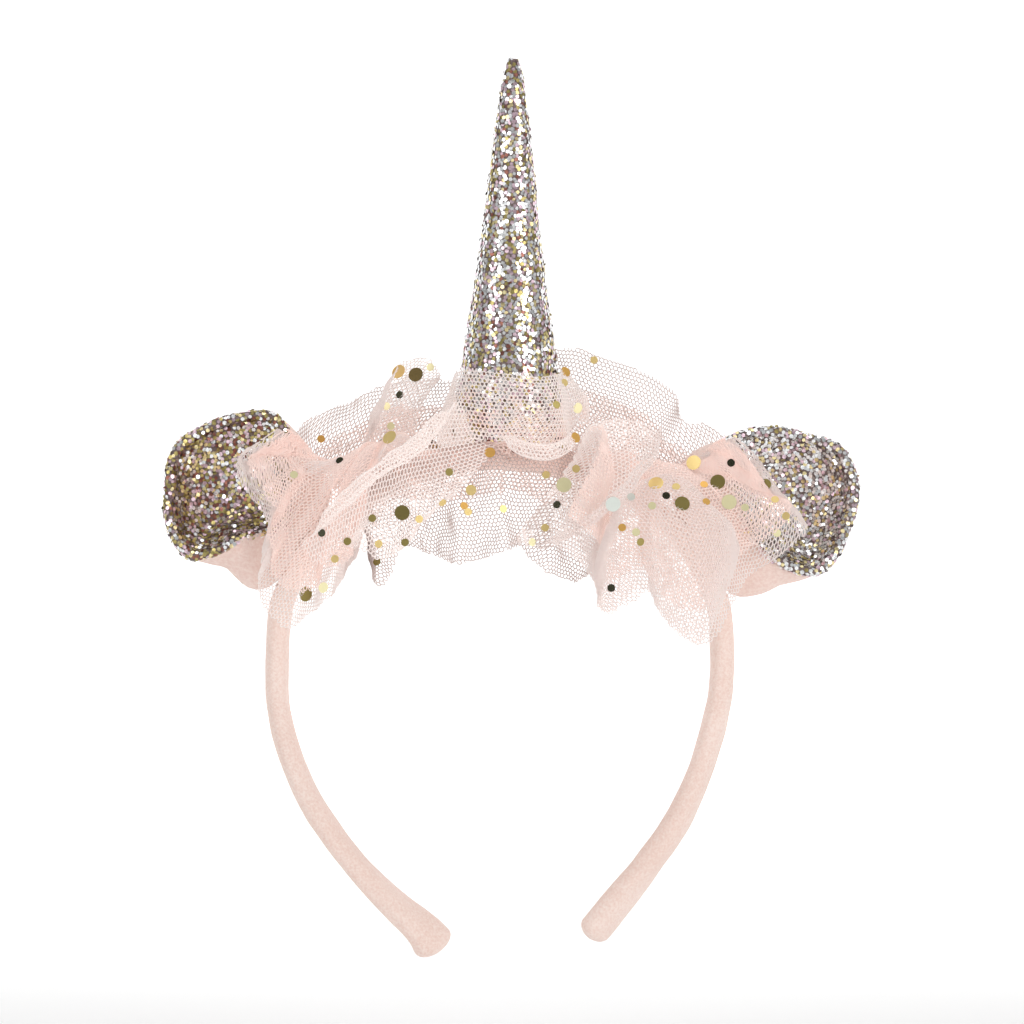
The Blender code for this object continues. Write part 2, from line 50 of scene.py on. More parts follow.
# Seeds, so that each run gives the same result
BAND_SEED = 11
HORN_SEED = 5
HORN_FLAKE_SEED = 21
EAR_FLAKE_SEED = 31
LAYER_SEED = 100
SEEDS_PER_SHEET = 10
ROLL_SEED = 300
DOT_SEED = 77

# Band, measured on its centreline
BAND_THICKNESS = 0.0066
BAND_WIDTH = 0.0130
CROWN_HALF_SPAN = 0.0624
CROWN_RISE = 0.0523
CROWN_CENTRE_Z = BAND_THICKNESS / 2 - CROWN_RISE
CROWN_STEPS = 22
BAND_SIDES = 40
BAND_STATIONS = 260
BAND_SQUARENESS = 2.6
BAND_RIPPLE = 0.00012
BAND_RIPPLE_LENGTHS = (0.030, 0.008)
TIP_ROUND_DEG = (12, 24, 36, 48, 60, 72, 82)
TIP_ROUND_LENGTH = 0.0034
LEFT_LEG = (
    (-0.0625, -0.0580, 0.0066, 0.0130, 0),
    (-0.0612, -0.0710, 0.0066, 0.0128, 0),
    (-0.0560, -0.0868, 0.0066, 0.0126, 3),
    (-0.0485, -0.1000, 0.0066, 0.0124, 6),
    (-0.0392, -0.1120, 0.0066, 0.0122, 10),
    (-0.0292, -0.1219, 0.0067, 0.0120, 22),
    (-0.0216, -0.1288, 0.0068, 0.0119, 42),
    (-0.0190, -0.1322, 0.0070, 0.0119, 62),
)
RIGHT_LEG = (
    (0.0621, -0.0580, 0.0070, 0.0130, 0),
    (0.0604, -0.0690, 0.0070, 0.0128, -3),
    (0.0563, -0.0835, 0.0070, 0.0126, -8),
    (0.0500, -0.0977, 0.0070, 0.0124, -14),
    (0.0413, -0.1104, 0.0071, 0.0122, -20),
    (0.0325, -0.1213, 0.0072, 0.0120, -27),
    (0.0268, -0.1283, 0.0073, 0.0118, -32),
)

# Horn
HORN_BASE = (0.0022, 0.0, 0.0052)
HORN_LEAN_FORWARD_DEG = 6.0
HORN_LEAN_RIGHT_DEG = 0.8
HORN_SIDES = 64
HORN_RINGS = 120
HORN_SMOOTHING = 7
HORN_DENTS = 0.012
HORN_DENT_LENGTHS = (0.05, 0.015)
HORN_MEAN_RADIUS = 0.01
HORN_ROWS = (
    (0.0000, 0.0166),
    (0.0070, 0.0158),
    (0.0260, 0.0131),
    (0.0430, 0.0103),
    (0.0605, 0.0080),
    (0.0775, 0.0062),
    (0.0890, 0.0048),
    (0.0990, 0.0035),
    (0.1050, 0.0027),
    (0.1082, 0.0018),
    (0.1095, 0.0008),
)

# Ears: direction in degrees, then in millimetres how far out the rim and the fullest part lie, and rim's y
FELT_WALL = 0.0018
LINING_CLOTH = 0.0005
EAR_ROUND_STEPS = 120
EAR_DEPTH_STEPS = 22
EAR_BACK_Y = 0.0090
LEAST_CUP_REACH = 0.03
EAR_MIDDLES = {
    "left": (-0.0762, -0.0062),
    "right": (0.0826, -0.0070),
}
EARS = {
    "left": (
        (0, 16.5, 29.4, -7.5),
        (20, 17.4, 27, -6.5),
        (38, 21.3, 25.8, -5.5),
        (60, 23.5, 25.2, -5),
        (85, 20.6, 21.4, -4.5),
        (112, 17.9, 19.2, -5),
        (135, 17.8, 19.2, -6),
        (158, 16.8, 17.8, -7),
        (180, 16, 16.8, -8),
        (213, 18.4, 18.9, -10),
        (237, 20.2, 20.9, -11.5),
        (256, 16.5, 20.9, -12.5),
        (273, 13.8, 22.1, -13),
        (287, 13.2, 29, -13),
        (300, 13.6, 29, -12),
        (315, 15, 26, -10.5),
        (330, 18, 25.3, -9.5),
        (345, 17.2, 27.6, -8.5),
    ),
    "right": (
        (5, 15.7, 17.1, -8),
        (28, 16.4, 17.5, -7),
        (44, 16.6, 18.2, -6),
        (62, 16.5, 17.5, -5),
        (85, 16.3, 17.2, -4.5),
        (113, 19.2, 20.1, -5),
        (131, 22.3, 23.3, -5.5),
        (144, 23.6, 25.8, -6),
        (160, 20.2, 32.2, -6.5),
        (174, 17.6, 35.2, -7.5),
        (187, 16, 34.8, -8.5),
        (202, 15.6, 30.8, -9.5),
        (220, 16.4, 30.4, -11),
        (236, 17.3, 33.8, -12),
        (247, 17.9, 30.8, -12.5),
        (258, 18.5, 26.2, -13),
        (276, 20.3, 23.7, -13),
        (291, 21.4, 22, -12.5),
        (308, 19, 19.6, -11),
        (330, 15.6, 16.9, -9.5),
    ),
}
# From the rim to the deepest point: depth, swell from rim to fullest part, and drawing in
CUP_ROWS = (
    (0.00, 0.00, 1.00),
    (0.14, 0.45, 1.00),
    (0.34, 0.92, 1.00),
    (0.58, 1.00, 0.94),
    (0.80, 1.00, 0.72),
    (0.94, 1.00, 0.40),
    (1.00, 1.00, 0.04),
)

# Glitter bowl from the rim to the middle: share of the way out that is left, and share of the depth
BOWL_MIDDLE_Y = 0.0005
BOWL_ROWS = (
    (1.00, 0.00),
    (0.93, 0.17),
    (0.82, 0.38),
    (0.66, 0.62),
    (0.46, 0.83),
    (0.22, 0.96),
    (0.03, 1.00),
)
BOWL_STEPS = 22
# Glitter cloth rolled over the rim: distance out from the felt's inner edge, and distance behind it
RIM_ROLL = (
    (0.00215, 0.0018),
    (0.00225, 0.0004),
    (0.00190, -0.0008),
    (0.00100, -0.0014),
    (0.00000, -0.0012),
    (-0.00060, -0.0004),
)
RIM_STEPS = 14

# Tulle folds: the seam's angle in degrees, then in millimetres rise, push, lean and the hem's x, y and z
LEFT_WING = (
    (131, 16, 6, -1, -61.3, -13, 11.8),
    (129.5, 15.5, 8, -3, -67.8, -19, 7),
    (128, 15, 9.5, -5, -72.8, -17.5, 2.8),
    (126.5, 14.5, 11, -7, -72, -21.5, -3.4),
    (125, 14, 12.5, -9, -68.3, -18.5, -8.4),
    (123.5, 15, 13.5, -10, -64.4, -21, -14.6),
    (122, 16, 14, -10, -65.5, -19, -21),
    (120.5, 17, 15, -9, -66.1, -21.5, -27.4),
    (119, 18, 15.5, -8, -66.6, -19, -35.3),
    (117.5, 19, 16, -7, -63.8, -21, -40.3),
    (116, 20, 16.5, -6, -58.2, -25.5, -44.2),
    (114.5, 20.5, 16, -5, -52.6, -21, -40.3),
    (113, 21, 15.5, -4, -47.6, -25.5, -36.4),
    (111.5, 21.5, 15, -3, -43.4, -21, -30.2),
    (110, 21.5, 14.5, -2, -39.2, -23, -24.1),
)
RIGHT_WING = (
    (73, 22, 11, 14, 14, -32.5, -20.5),
    (72.2, 21.5, 11.5, 12, 19, -31.5, -23.5),
    (71.4, 20.5, 12, 9, 24, -28.5, -29),
    (70.6, 19.5, 13, 6, 26.5, -27, -35.5),
    (69.7, 18, 14, 4, 29.7, -28.5, -40.3),
    (68.5, 17, 15, 3, 33.6, -25, -38.1),
    (67, 16.5, 16, 3, 37.5, -23.5, -36.4),
    (65.5, 16, 17, 3, 41.2, -21, -33.6),
    (64, 15.5, 18, 3, 44.2, -23.5, -39.8),
    (62.5, 15, 19, 3, 48.2, -27.5, -44.2),
    (61, 15, 20, 4, 53.5, -31.5, -48.4),
    (59.5, 15, 20.5, 5, 59, -32.5, -47),
    (58, 14.5, 20, 6, 63.5, -29.5, -38.5),
    (56.5, 14, 18.5, 7, 68, -23.5, -30.5),
    (55, 13.5, 16.5, 8, 72.5, -19.5, -27.2),
    (53.5, 13, 15, 8, 78.5, -21.5, -23.5),
    (52, 13, 13.5, 7, 85, -22.5, -16.5),
    (51, 13, 12, 6, 82, -19, -11),
    (50, 13.5, 10.5, 5, 77.5, -20.5, -5.8),
    (49, 14.5, 8.5, 3, 71.5, -17.5, 3.2),
    (48, 15.5, 6, 1, 65.5, -14, 9.2),
)
MIDDLE_FRILL = (
    (127, 1, 2, 0, -37, -10.5, -19.6),
    (125, 1, 2.5, 0, -35.3, -13, -28.6),
    (123, 1, 3, 0, -32.8, -16.5, -32.5),
    (121, 1, 3, 0, -29.7, -13, -28.6),
    (118.5, 1, 3, 0, -27.4, -10.5, -22.4),
    (116, 1, 3, 0, -25.2, -13, -21.3),
    (112.5, 1, 3.5, 0, -21.3, -17, -23),
    (109, 1, 3.5, 0, -17.9, -14.5, -24.1),
    (105, 0.5, 3.5, 0, -14, -18.5, -25.8),
    (101, 0, 4, 0, -10.6, -23.5, -26.3),
    (97.5, 0, 4, 0, -6.2, -20, -25.2),
    (94, 0, 4, 0, -2.2, -24, -24.1),
    (90.5, 0, 4, 0, 1.7, -27, -22.7),
    (86.5, 0, 4, 0, 5.6, -21.5, -21.8),
    (82, 0, 4, 0, 9.2, -24, -25.8),
    (77.5, 0.5, 4, 0, 12.6, -27.5, -28.6),
    (73, 1, 3.5, 0, 17.4, -22.5, -30.2),
    (68, 1, 3, 0, 21.8, -18, -31.4),
    (63, 1, 2.5, 0, 25.2, -13.5, -27.4),
    (58, 1, 2, 0, 28, -11, -22.4),
)
LEFT_PUFF = (
    (124.5, 8, 2.5, -1, -34.8, -4.2, 11),
    (122, 9, 3, -1, -31.9, -6.5, 19),
    (119.5, 12, 3, -2, -28.8, -1.5, 29.7),
    (117, 13, 2, -2, -23.8, 2.5, 31.4),
    (114.5, 13, 2, -2, -19.6, -3, 31.2),
    (112, 12, 1, -2, -16.8, 1, 27.4),
    (109.5, 11, 0, -1, -16.6, 4.5, 25),
)
BACK_FRILL = (
    (131, 8, 2, -6, -59.4, 12.5, 8.4),
    (128.5, 9, 4, -6, -55.2, 16, 14),
    (125, 10, 4.5, -5, -49.6, 14, 17),
    (121.5, 11, 5, -4, -42.8, 17.5, 19.9),
    (118, 11, 6, -3, -37.2, 15.5, 22.7),
    (113.5, 11, 6.5, -2, -30.2, 19, 25.2),
    (109, 11, 6.5, -1, -22.4, 18, 26.3),
    (104.5, 11, 6, 0, -14, 21.5, 25.8),
    (99, 11, 5, 0, -6.2, 21, 27.4),
    (93, 11, 5, 0, 1.4, 23, 29.4),
    (87, 12, 5, 0, 8.4, 21.5, 31.4),
    (81, 12, 6, 1, 15.7, 22, 34.7),
    (75, 12, 6.5, 2, 23, 18, 34.7),
    (69.5, 12, 7, 3, 31.4, 19.5, 31.6),
    (64.5, 11, 6.5, 3, 39.8, 15.5, 28.3),
    (60, 10, 6, 4, 49.3, 17.5, 22.7),
    (56.5, 9, 5, 4, 51.5, 13.5, 14.6),
    (53, 9, 4.5, 4, 57.4, 16, 13.7),
    (50, 8, 3.5, 5, 62.7, 13, 10.9),
    (47.5, 7, 2, 5, 67.6, 14.5, 7.8),
)
# Seams: node, folds, side of the band, height above its middle line, distance forward or back
SEAMS = (
    ("tulle_wing_left", LEFT_WING, -1, 0.0040, 0.0030),
    ("tulle_wing_right", RIGHT_WING, -1, 0.0040, 0.0030),
    ("tulle_middle_frill", MIDDLE_FRILL, -1, 0.0010, 0.0074),
    ("tulle_puff_left", LEFT_PUFF, -1, 0.0043, -0.0010),
    ("tulle_back_frill", BACK_FRILL, 1, 0.0010, 0.0074),
)
HORN_BYPASS = 0.0182
HORN_BYPASS_SHARPNESS = 4

# Collar: direction round the horn in degrees, then in millimetres top height, hem's x, y and z, and flare
HORN_COLLAR = (
    (152, 23, -14.5, 9.5, 9.5, 1),
    (174, 26.5, -16.8, 2, 8.5, 1),
    (196, 28.5, -17.2, -7.5, 7, 2),
    (216, 29, -15, -15, 6, 3),
    (235, 29, -10, -20.5, 6.5, 3),
    (252, 28.5, -4, -22.2, 8.2, 3),
    (268, 28, 2.5, -24, 7, 3),
    (284, 27.5, 7.5, -24.5, 5.5, 4),
    (300, 27, 13.7, -24.2, 4.5, 5),
    (318, 27.5, 18, -19.5, 7.8, 4),
    (336, 28.5, 19.2, -11, 10.8, 3),
    (354, 29, 24.6, -4, 13, 4),
    (372, 28.5, 23.6, 3.5, 15, 3),
    (392, 26, 20, 9.5, 11, 1),
)
COLLAR_GAP = 0.0013

# Swath that sweeps from the right crest down under the horn: root, turn and hem, in millimetres
RIGHT_PANEL = (
    (43.6, -15, 11, 38.4, -33, -8.5, 13.3, -25, -21.7),
    (41.1, -13, 12.7, 34.3, -31, -5.2, 11.4, -24, -22),
    (36.7, -12, 14.1, 30.3, -29, -2.4, 9.1, -23, -21.7),
    (31.7, -11, 14.4, 27, -27, -0.2, 6.9, -23, -21.1),
    (27.3, -11, 13.5, 23.7, -26, 1.4, 4.5, -22, -20.9),
    (23.9, -12, 11.6, 21.3, -25, 2, 2, -21, -20.9),
)
# Fan that falls over the right shoulder of the band, in millimetres
RIGHT_LOBE = (
    (41.5, -20, -2.4, 32.4, -32, -3, 26.4, -30, -24.9),
    (42.6, -20, -1.8, 33.5, -34, -6.3, 26.7, -32, -37.5),
    (44.2, -20, -1.3, 36.7, -36, -8.5, 31.3, -30, -39.2),
    (46.2, -20, -1, 41, -37, -9.8, 38.4, -32, -32.6),
    (48.1, -20, -1.3, 44.8, -38, -11.2, 43.3, -34, -38),
    (50, -20, -1.8, 49.8, -38, -11.2, 49.8, -36, -45.6),
    (52, -20, -2.9, 54.7, -37, -10.7, 55.9, -35, -47.3),
    (53.7, -19, -4.6, 59.1, -35, -10.7, 61.7, -33, -34.8),
    (54.8, -18, -6.8, 62.5, -32, -11.8, 66.2, -30, -21.9),
    (54.3, -16, -8.4, 60, -27, -14, 64.2, -26, -26.6),
    (52.7, -14, -8.4, 56.3, -24, -14, 61.1, -26, -34.9),
    (51.1, -13, -7.3, 52.5, -22, -14, 55.1, -25, -36),
)
# Swath from the horn's foot down to the left, in millimetres
LEFT_SWATH = (
    (-10.5, -20, 19.7, -21.9, -31, 11.3, -55.1, -24, -20.9),
    (-9.3, -21, 15.8, -20.5, -30, 8, -50.1, -25, -26.6),
    (-8, -21, 12.3, -19.2, -29, 3.9, -40.7, -24, -21.7),
    (-6, -20, 9.2, -16.4, -28, 0.3, -33.5, -26, -25),
    (-3.3, -19, 7.3, -13.1, -27, -3, -28, -25, -22.8),
    (-0.5, -18, 6.5, -9.3, -26, -5.2, -23.1, -23, -16.2),
)
# Rolled folds: x, y, z along the roll and its radius, in millimetres
ROLLS = {
    "net_roll_right": (
        "tulle_wing_right",
        (
            (44.3, -17, 12, 1.1),
            (41.9, -25, 4.8, 1.4),
            (35.2, -31, -4.4, 1.5),
            (26.9, -31, -12.3, 1.4),
            (18.2, -29, -17.8, 1.1),
            (10, -25, -21.1, 0.7),
        ),
    ),
    "net_roll_left": (
        "tulle_wing_left",
        (
            (-12.1, -21, 18.6, 1.6),
            (-19.2, -28, 10.8, 2.1),
            (-27.4, -31, 3.6, 2.2),
            (-35.6, -30, -1.9, 2.2),
            (-43.9, -28, -9.3, 1.8),
            (-51.7, -25, -18.6, 1.3),
        ),
    ),
    "net_roll_horn": (
        "tulle_horn_collar",
        (
            (0.1, -23, 9.2, 1.3),
            (5.6, -25, 6.4, 2),
            (11.6, -26, 4.7, 2.4),
            (17.1, -24, 5.9, 2.1),
            (21.3, -19, 9.8, 1.4),
        ),
    ),
}

# Pleats of the inner layers: their width, how they wander, and how they swell and fade towards the hem,
# then the lengths of the creases, and how fast a layer comes loose below its seam
PLEAT_PITCH = 0.021
PLEAT_WANDER = 1.7
PLEAT_WANDER_LENGTHS = (0.060, 0.025)
PLEAT_START = 0.12
PLEAT_LEAST = 0.45
PLEAT_SWELL = 0.55
PLEAT_PEAK = 0.25
PLEAT_SPREAD = 0.4
PLEAT_FREE_EDGE = 0.008
CREASE_LENGTHS = (0.028, 0.007)
LOOSENS = 1.6
SHEET_DEPTH = 0.03

# Net: hexagonal cells of thread
NET_PITCH = 0.00125
THREAD_SIDE = 0.00034
THREAD_JITTER = 0.02
THREAD_CORNERS_DEG = (210, 90, 330)
THREAD_FACES = ((0, 1, 4, 3), (1, 2, 5, 4))
RAGGED = 0.5
RAGGED_LENGTHS = (0.02, 0.004)
SEARCH_ROUNDS = 7
SEARCH_KEPT = 0.3
SEARCH_MOVED = 0.7
TINY = 1e-9
# A sheet may not declare less cloth than this share of its flat rectangle. It raises net_horn_collar_2 alone.
GRID_ALONG = 12
GRID_DOWN = 44

# Camera, set to the photograph's frame
PIXEL = 0.00028
PHOTO_SIZE = 1024
BAND_MIDDLE_PX = 500
BAND_TOP_PX = 470
CAMERA_DISTANCE = 1.5
SENSOR_MM = 36.0


def aim_point():
    """Where the photograph's middle falls in the band's plane."""
    middle = PHOTO_SIZE / 2
    return Vector(((middle - BAND_MIDDLE_PX) * PIXEL, 0, (BAND_TOP_PX - middle) * PIXEL))


def add_camera():
    data = bpy.data.cameras.new("camera")
    data.sensor_width = SENSOR_MM
    data.lens = SENSOR_MM * CAMERA_DISTANCE / (PHOTO_SIZE * PIXEL)
    data.clip_start = 0.05
    made = add_object("camera", data)
    made.location = aim_point() - Vector((0, CAMERA_DISTANCE, 0))
    made.rotation_euler = (math.radians(90), 0, 0)
    bpy.context.scene.camera = made


def metres(rows, kept=0):
    """Rows of millimetres as metres, but for the first columns that are kept as they are."""
    rows = np.array(rows, float)
    rows[:, kept:] = np.round(rows[:, kept:] * 1000) / 1e6
    return rows


def smooth(rows, places):
    """Rows of numbers read along a smooth curve through them, at fractional row numbers."""
    rows = np.asarray(rows, float)
    padded = np.vstack([rows[:1], rows, rows[-1:]])
    low = np.clip(np.floor(places).astype(int), 0, len(rows) - 2)
    t = (places - low)[:, None]
    a, b, c, d = (padded[low + shift] for shift in range(4))
    return 0.5 * (2 * b + (c - a) * t + (2 * a - 5 * b + 4 * c - d) * t**2 + (3 * b - a - 3 * c + d) * t**3)


def smooth_round(rows, turns):
    """Rows whose first number is a direction in degrees, read all the way round."""
    rows = np.asarray(rows, float)
    wrapped = np.vstack([rows[-2:] - [360, 0, 0, 0], rows, rows[:3] + [360, 0, 0, 0]])
    places = np.interp(turns, wrapped[:, 0], np.arange(len(wrapped)))
    return smooth(wrapped[:, 1:], places)


def pairs(one, other):
    """Two arrays spread over a grid and joined, for each place on it."""
    return np.stack(np.broadcast_arrays(one, other), axis=-1)


def run_along(points, axis=0):
    """Length along lines of points, from their start."""
    first = points[:1] if axis == 0 else points[:, :1]
    steps = np.linalg.norm(np.diff(points, axis=axis, prepend=first), axis=-1)
    return np.cumsum(steps, axis=axis)


def add_object(name, data):
    made = bpy.data.objects.new(name, data)
    bpy.context.scene.collection.objects.link(made)
    return made


def unit(vectors):
    return vectors / np.maximum(np.linalg.norm(vectors, axis=-1, keepdims=True), 1e-12)


def mesh_piece(name, points, faces, materials, smooth_shading=True):
    """A mesh object from arrays of points and faces, riding on the body."""
    mesh = bpy.data.meshes.new(name)
    mesh.from_pydata(np.asarray(points).reshape(-1, 3), [], faces)
    if smooth_shading:
        mesh.shade_smooth()
    for item in materials:
        mesh.materials.append(item)
    made = add_object(name, mesh)
    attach(made, BODY)
    return made


def grid_faces(rows, columns, closed=False):
    """Quads of a grid of points, wrapping round its columns when closed."""
    r, c = np.meshgrid(np.arange(rows - 1), np.arange(columns if closed else columns - 1), indexing="ij")
    r, c = r.ravel(), c.ravel()
    d = (c + 1) % columns
    return np.stack([r * columns + c, r * columns + d, (r + 1) * columns + d, (r + 1) * columns + c], axis=1)


def closed_tube(rings, sides):
    """Faces of a tube of rings, closed at both ends."""
    faces = [tuple(face) for face in grid_faces(rings, sides, closed=True)]
    return faces + [tuple(range(sides))[::-1], tuple(range((rings - 1) * sides, rings * sides))]


def grid_normals(grid):
    along, down = np.gradient(grid, axis=0), np.gradient(grid, axis=1)
    return unit(np.cross(along, down))


def waves(places, seed, longest, shortest, count=14):
    """A smooth random field over flat coordinates, between about -1 and 1."""
    rng = np.random.default_rng(seed)
    total = np.zeros(places.shape[:-1])
    for _ in range(count):
        angle, phase = rng.uniform(0, math.tau, 2)
        length = math.exp(rng.uniform(math.log(shortest), math.log(longest)))
        way = np.array([math.cos(angle), math.sin(angle)])
        total += np.sin(places @ way * (math.tau / length) + phase)
    return total / math.sqrt(count)


# Materials: how fine their shades are, and how deep the nap is
SLOW_SHADE_SCALE = 60.0
SLOW_SHADE_SHARE = 0.35
NAP_DEPTH = 0.0003
THREAD_SHADE_SCALE = 900.0
THREAD_CLEARNESS = 0.3
FLAKE_SHADE_SCALE = 1400.0
FLAKE_SHADE_FROM = (0.3, 0.7)
FLAKE_SHADE_TO = (0.75, 1.2)
SCUFF_SCALE = 2600.0


def principled(name, colour, roughness, metallic=0.0):
    """A Principled material, its node tree and its shader, for a material to build on."""
    made = bpy.data.materials.new(name)
    made.use_nodes = True
    shader = made.node_tree.nodes["Principled BSDF"]
    shader.inputs["Base Color"].default_value = (*colour, 1)
    shader.inputs["Roughness"].default_value = roughness
    shader.inputs["Metallic"].default_value = metallic
    return made, made.node_tree, shader


def add_node(tree, kind, **values):
    made = tree.nodes.new(kind)
    for name, value in values.items():
        if name in made.inputs:
            made.inputs[name].default_value = value
        else:
            setattr(made, name, value)
    return made


def object_coordinates(tree):
    return add_node(tree, "ShaderNodeTexCoord").outputs["Object"]


def noise(tree, scale, detail, roughness=0.5):
    """Noise over the object's own coordinates."""
    made = add_node(tree, "ShaderNodeTexNoise", Scale=scale, Detail=detail, Roughness=roughness)
    tree.links.new(object_coordinates(tree), made.inputs["Vector"])
    return made.outputs["Fac"]


def spread(tree, source, start, end, low, high):
    """A value read from one range into another."""
    names = {"From Min": start, "From Max": end, "To Min": low, "To Max": high}
    made = add_node(tree, "ShaderNodeMapRange", **names)
    tree.links.new(source, made.inputs["Value"])
    return made.outputs["Result"]


def blend(tree, source, low, high, start=0.0, end=1.0):
    """A colour between two, by a value between a start and an end."""
    made = add_node(tree, "ShaderNodeValToRGB")
    for element, place, colour in zip(made.color_ramp.elements, (start, end), (low, high)):
        element.position = place
        element.color = (*colour, 1)
    tree.links.new(source, made.inputs["Fac"])
    return made.outputs["Color"]


def nap_material(name, light, dark, speck, bump):
    """Velour or felt: short nap with a fine speckle and a soft, slow change of shade."""
    made, tree, shader = principled(name, light, 0.9)
    shader.inputs["Sheen Weight"].default_value = 0.35
    shader.inputs["Sheen Roughness"].default_value = 0.45
    shader.inputs["Sheen Tint"].default_value = (1.0, 0.93, 0.90, 1)
    fine = noise(tree, speck, 3.0, 0.65)
    both = add_node(tree, "ShaderNodeMath", operation="MULTIPLY_ADD")
    both.inputs[1].default_value = SLOW_SHADE_SHARE
    tree.links.new(noise(tree, SLOW_SHADE_SCALE, 2.0), both.inputs[0])
    tree.links.new(fine, both.inputs[2])
    tree.links.new(blend(tree, both.outputs[0], dark, light, 0.50, 0.82), shader.inputs["Base Color"])
    relief = add_node(tree, "ShaderNodeBump", Strength=bump, Distance=NAP_DEPTH)
    tree.links.new(fine, relief.inputs["Height"])
    tree.links.new(relief.outputs["Normal"], shader.inputs["Normal"])
    return made


def net_material(name, low, high, glow):
    """Pale pink nylon thread, which glows a little for the light that the layers pass on."""
    made, tree, shader = principled(name, high, 0.55)
    shader.inputs["Sheen Weight"].default_value = 0.2
    shader.inputs["Emission Color"].default_value = (*high, 1)
    shader.inputs["Emission Strength"].default_value = glow
    clear = add_node(tree, "ShaderNodeBsdfTranslucent", Color=(*high, 1))
    mix = add_node(tree, "ShaderNodeMixShader", Fac=THREAD_CLEARNESS)
    tree.links.new(blend(tree, noise(tree, THREAD_SHADE_SCALE, 1.0), low, high), shader.inputs["Base Color"])
    tree.links.new(shader.outputs["BSDF"], mix.inputs[1])
    tree.links.new(clear.outputs["BSDF"], mix.inputs[2])
    tree.links.new(mix.outputs["Shader"], tree.nodes["Material Output"].inputs["Surface"])
    return made


def flake_material(name, colour, roughness):
    """Metallised film: a flat mirror flake whose brightness shifts a little from place to place."""
    made, tree, shader = principled(name, colour, roughness, 1.0)
    shift = add_node(tree, "ShaderNodeHueSaturation", Color=(*colour, 1))
    value = spread(tree, noise(tree, FLAKE_SHADE_SCALE, 0.0), *FLAKE_SHADE_FROM, *FLAKE_SHADE_TO)
    tree.links.new(value, shift.inputs["Value"])
    tree.links.new(shift.outputs["Color"], shader.inputs["Base Color"])
    return made


def foil_material(name, colour, roughness):
    """A punched disc of metallised film, faintly scuffed."""
    made, tree, shader = principled(name, colour, roughness, 0.85)
    smoothest = max(roughness - 0.12, 0.05)
    scuffs = spread(tree, noise(tree, SCUFF_SCALE, 2.0), 0.0, 1.0, smoothest, roughness + 0.18)
    tree.links.new(scuffs, shader.inputs["Roughness"])
    return made


# Band


def crown_points(angles_deg):
    """Points of the band's centreline at angles round the crown, and the way out of the head."""
    angle = np.radians(angles_deg)
    zero = np.zeros_like(angle)
    points = np.stack(
        [CROWN_HALF_SPAN * np.cos(angle), zero, CROWN_CENTRE_Z + CROWN_RISE * np.sin(angle)], axis=-1
    )
    outward = np.stack([CROWN_RISE * np.cos(angle), zero, CROWN_HALF_SPAN * np.sin(angle)], axis=-1)
    return points, unit(outward)


def band_rings():
    """Sections of the band from the left tip, over the crown, to the right tip."""
    crown = []
    for step in range(1, CROWN_STEPS):
        point, _ = crown_points(180 - 180 * step / CROWN_STEPS)
        crown.append((point[0], point[2], BAND_THICKNESS, BAND_WIDTH, 0))
    rows = list(LEFT_LEG[::-1]) + crown + list(RIGHT_LEG)
    rows = smooth(rows, np.linspace(0, len(rows) - 1, BAND_STATIONS))
    centres = np.stack([rows[:, 0], np.zeros(len(rows)), rows[:, 1]], axis=1)
    tangents = unit(np.gradient(centres, axis=0))
    sizes = rows[:, 2:4]
    twists = rows[:, 4]
    lifts = np.radians(TIP_ROUND_DEG)
    for index, order in ((0, -1), (-1, 1)):
        way = tangents[index] * order
        caps = centres[index] + way * (TIP_ROUND_LENGTH * np.sin(lifts))[:, None]
        shrunk = sizes[index] * np.cos(lifts)[:, None]
        ends = (
            (centres, caps[::order]),
            (tangents, np.tile(tangents[index], (len(lifts), 1))),
            (sizes, shrunk[::order]),
            (twists, np.full(len(lifts), twists[index])),
        )
        centres, tangents, sizes, twists = (np.concatenate(pair[::order]) for pair in ends)
    return centres, tangents, sizes, twists


def band():
    """The velour-covered band, with slight unevenness in its padding."""
    centres, tangents, sizes, twists = band_rings()
    across = np.array([0.0, 1.0, 0.0])
    out = unit(np.cross(across, tangents))
    twist = np.radians(twists)[:, None]
    flat = across * np.cos(twist) + out * np.sin(twist)
    face = out * np.cos(twist) - across * np.sin(twist)
    angle = np.linspace(0, math.tau, BAND_SIDES, endpoint=False)
    c, s = (np.sign(wave) * np.abs(wave) ** (2 / BAND_SQUARENESS) for wave in (np.cos(angle), np.sin(angle)))
    points = (
        centres[:, None]
        + face[:, None] * (c[None, :, None] * sizes[:, None, :1] / 2)
        + flat[:, None] * (s[None, :, None] * sizes[:, None, 1:] / 2)
    )
    places = pairs(run_along(centres)[:, None], angle[None] * BAND_WIDTH / 2)
    normals = unit(points - centres[:, None])
    ripple = waves(places, BAND_SEED, *BAND_RIPPLE_LENGTHS) * BAND_RIPPLE
    points = points + normals * ripple[..., None]
    made = mesh_piece("band_cover", points, closed_tube(len(points), BAND_SIDES), [VELOUR])
    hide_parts("headband")


# Glitter: shares of silver, gold, olive, mauve and dark flakes, their spread and their tilt
HORN_FLAKE_SHARES = (0.50, 0.15, 0.11, 0.19, 0.05)
# The glitter cloth is the same on both ears: the left ear's larger share of olive and dark flakes is painted
# shade, and the right ear's larger share of silver is painted light
EAR_FLAKE_SHARES_PAINTED_LIGHT_AND_SHADE = {
    "left": (0.27, 0.15, 0.26, 0.19, 0.13),
    "right": (0.63, 0.18, 0.02, 0.17, 0.00),
}
FLAKE_SPACING = 0.00078
FLAKE_RADIUS = 0.00062
FLAKE_SIDES = 6
FLAKE_SIZE_RANGE = (0.85, 1.1)
FLAKE_LIFT_RANGE = (0.10, 0.55)
HORN_TILT_DEG = 5
EAR_TILT_DEG = 9
LOOSE_FLAKES = 0.10
LOOSE_TILT_DEG = 26
TRIES_PER_PLACE = 7


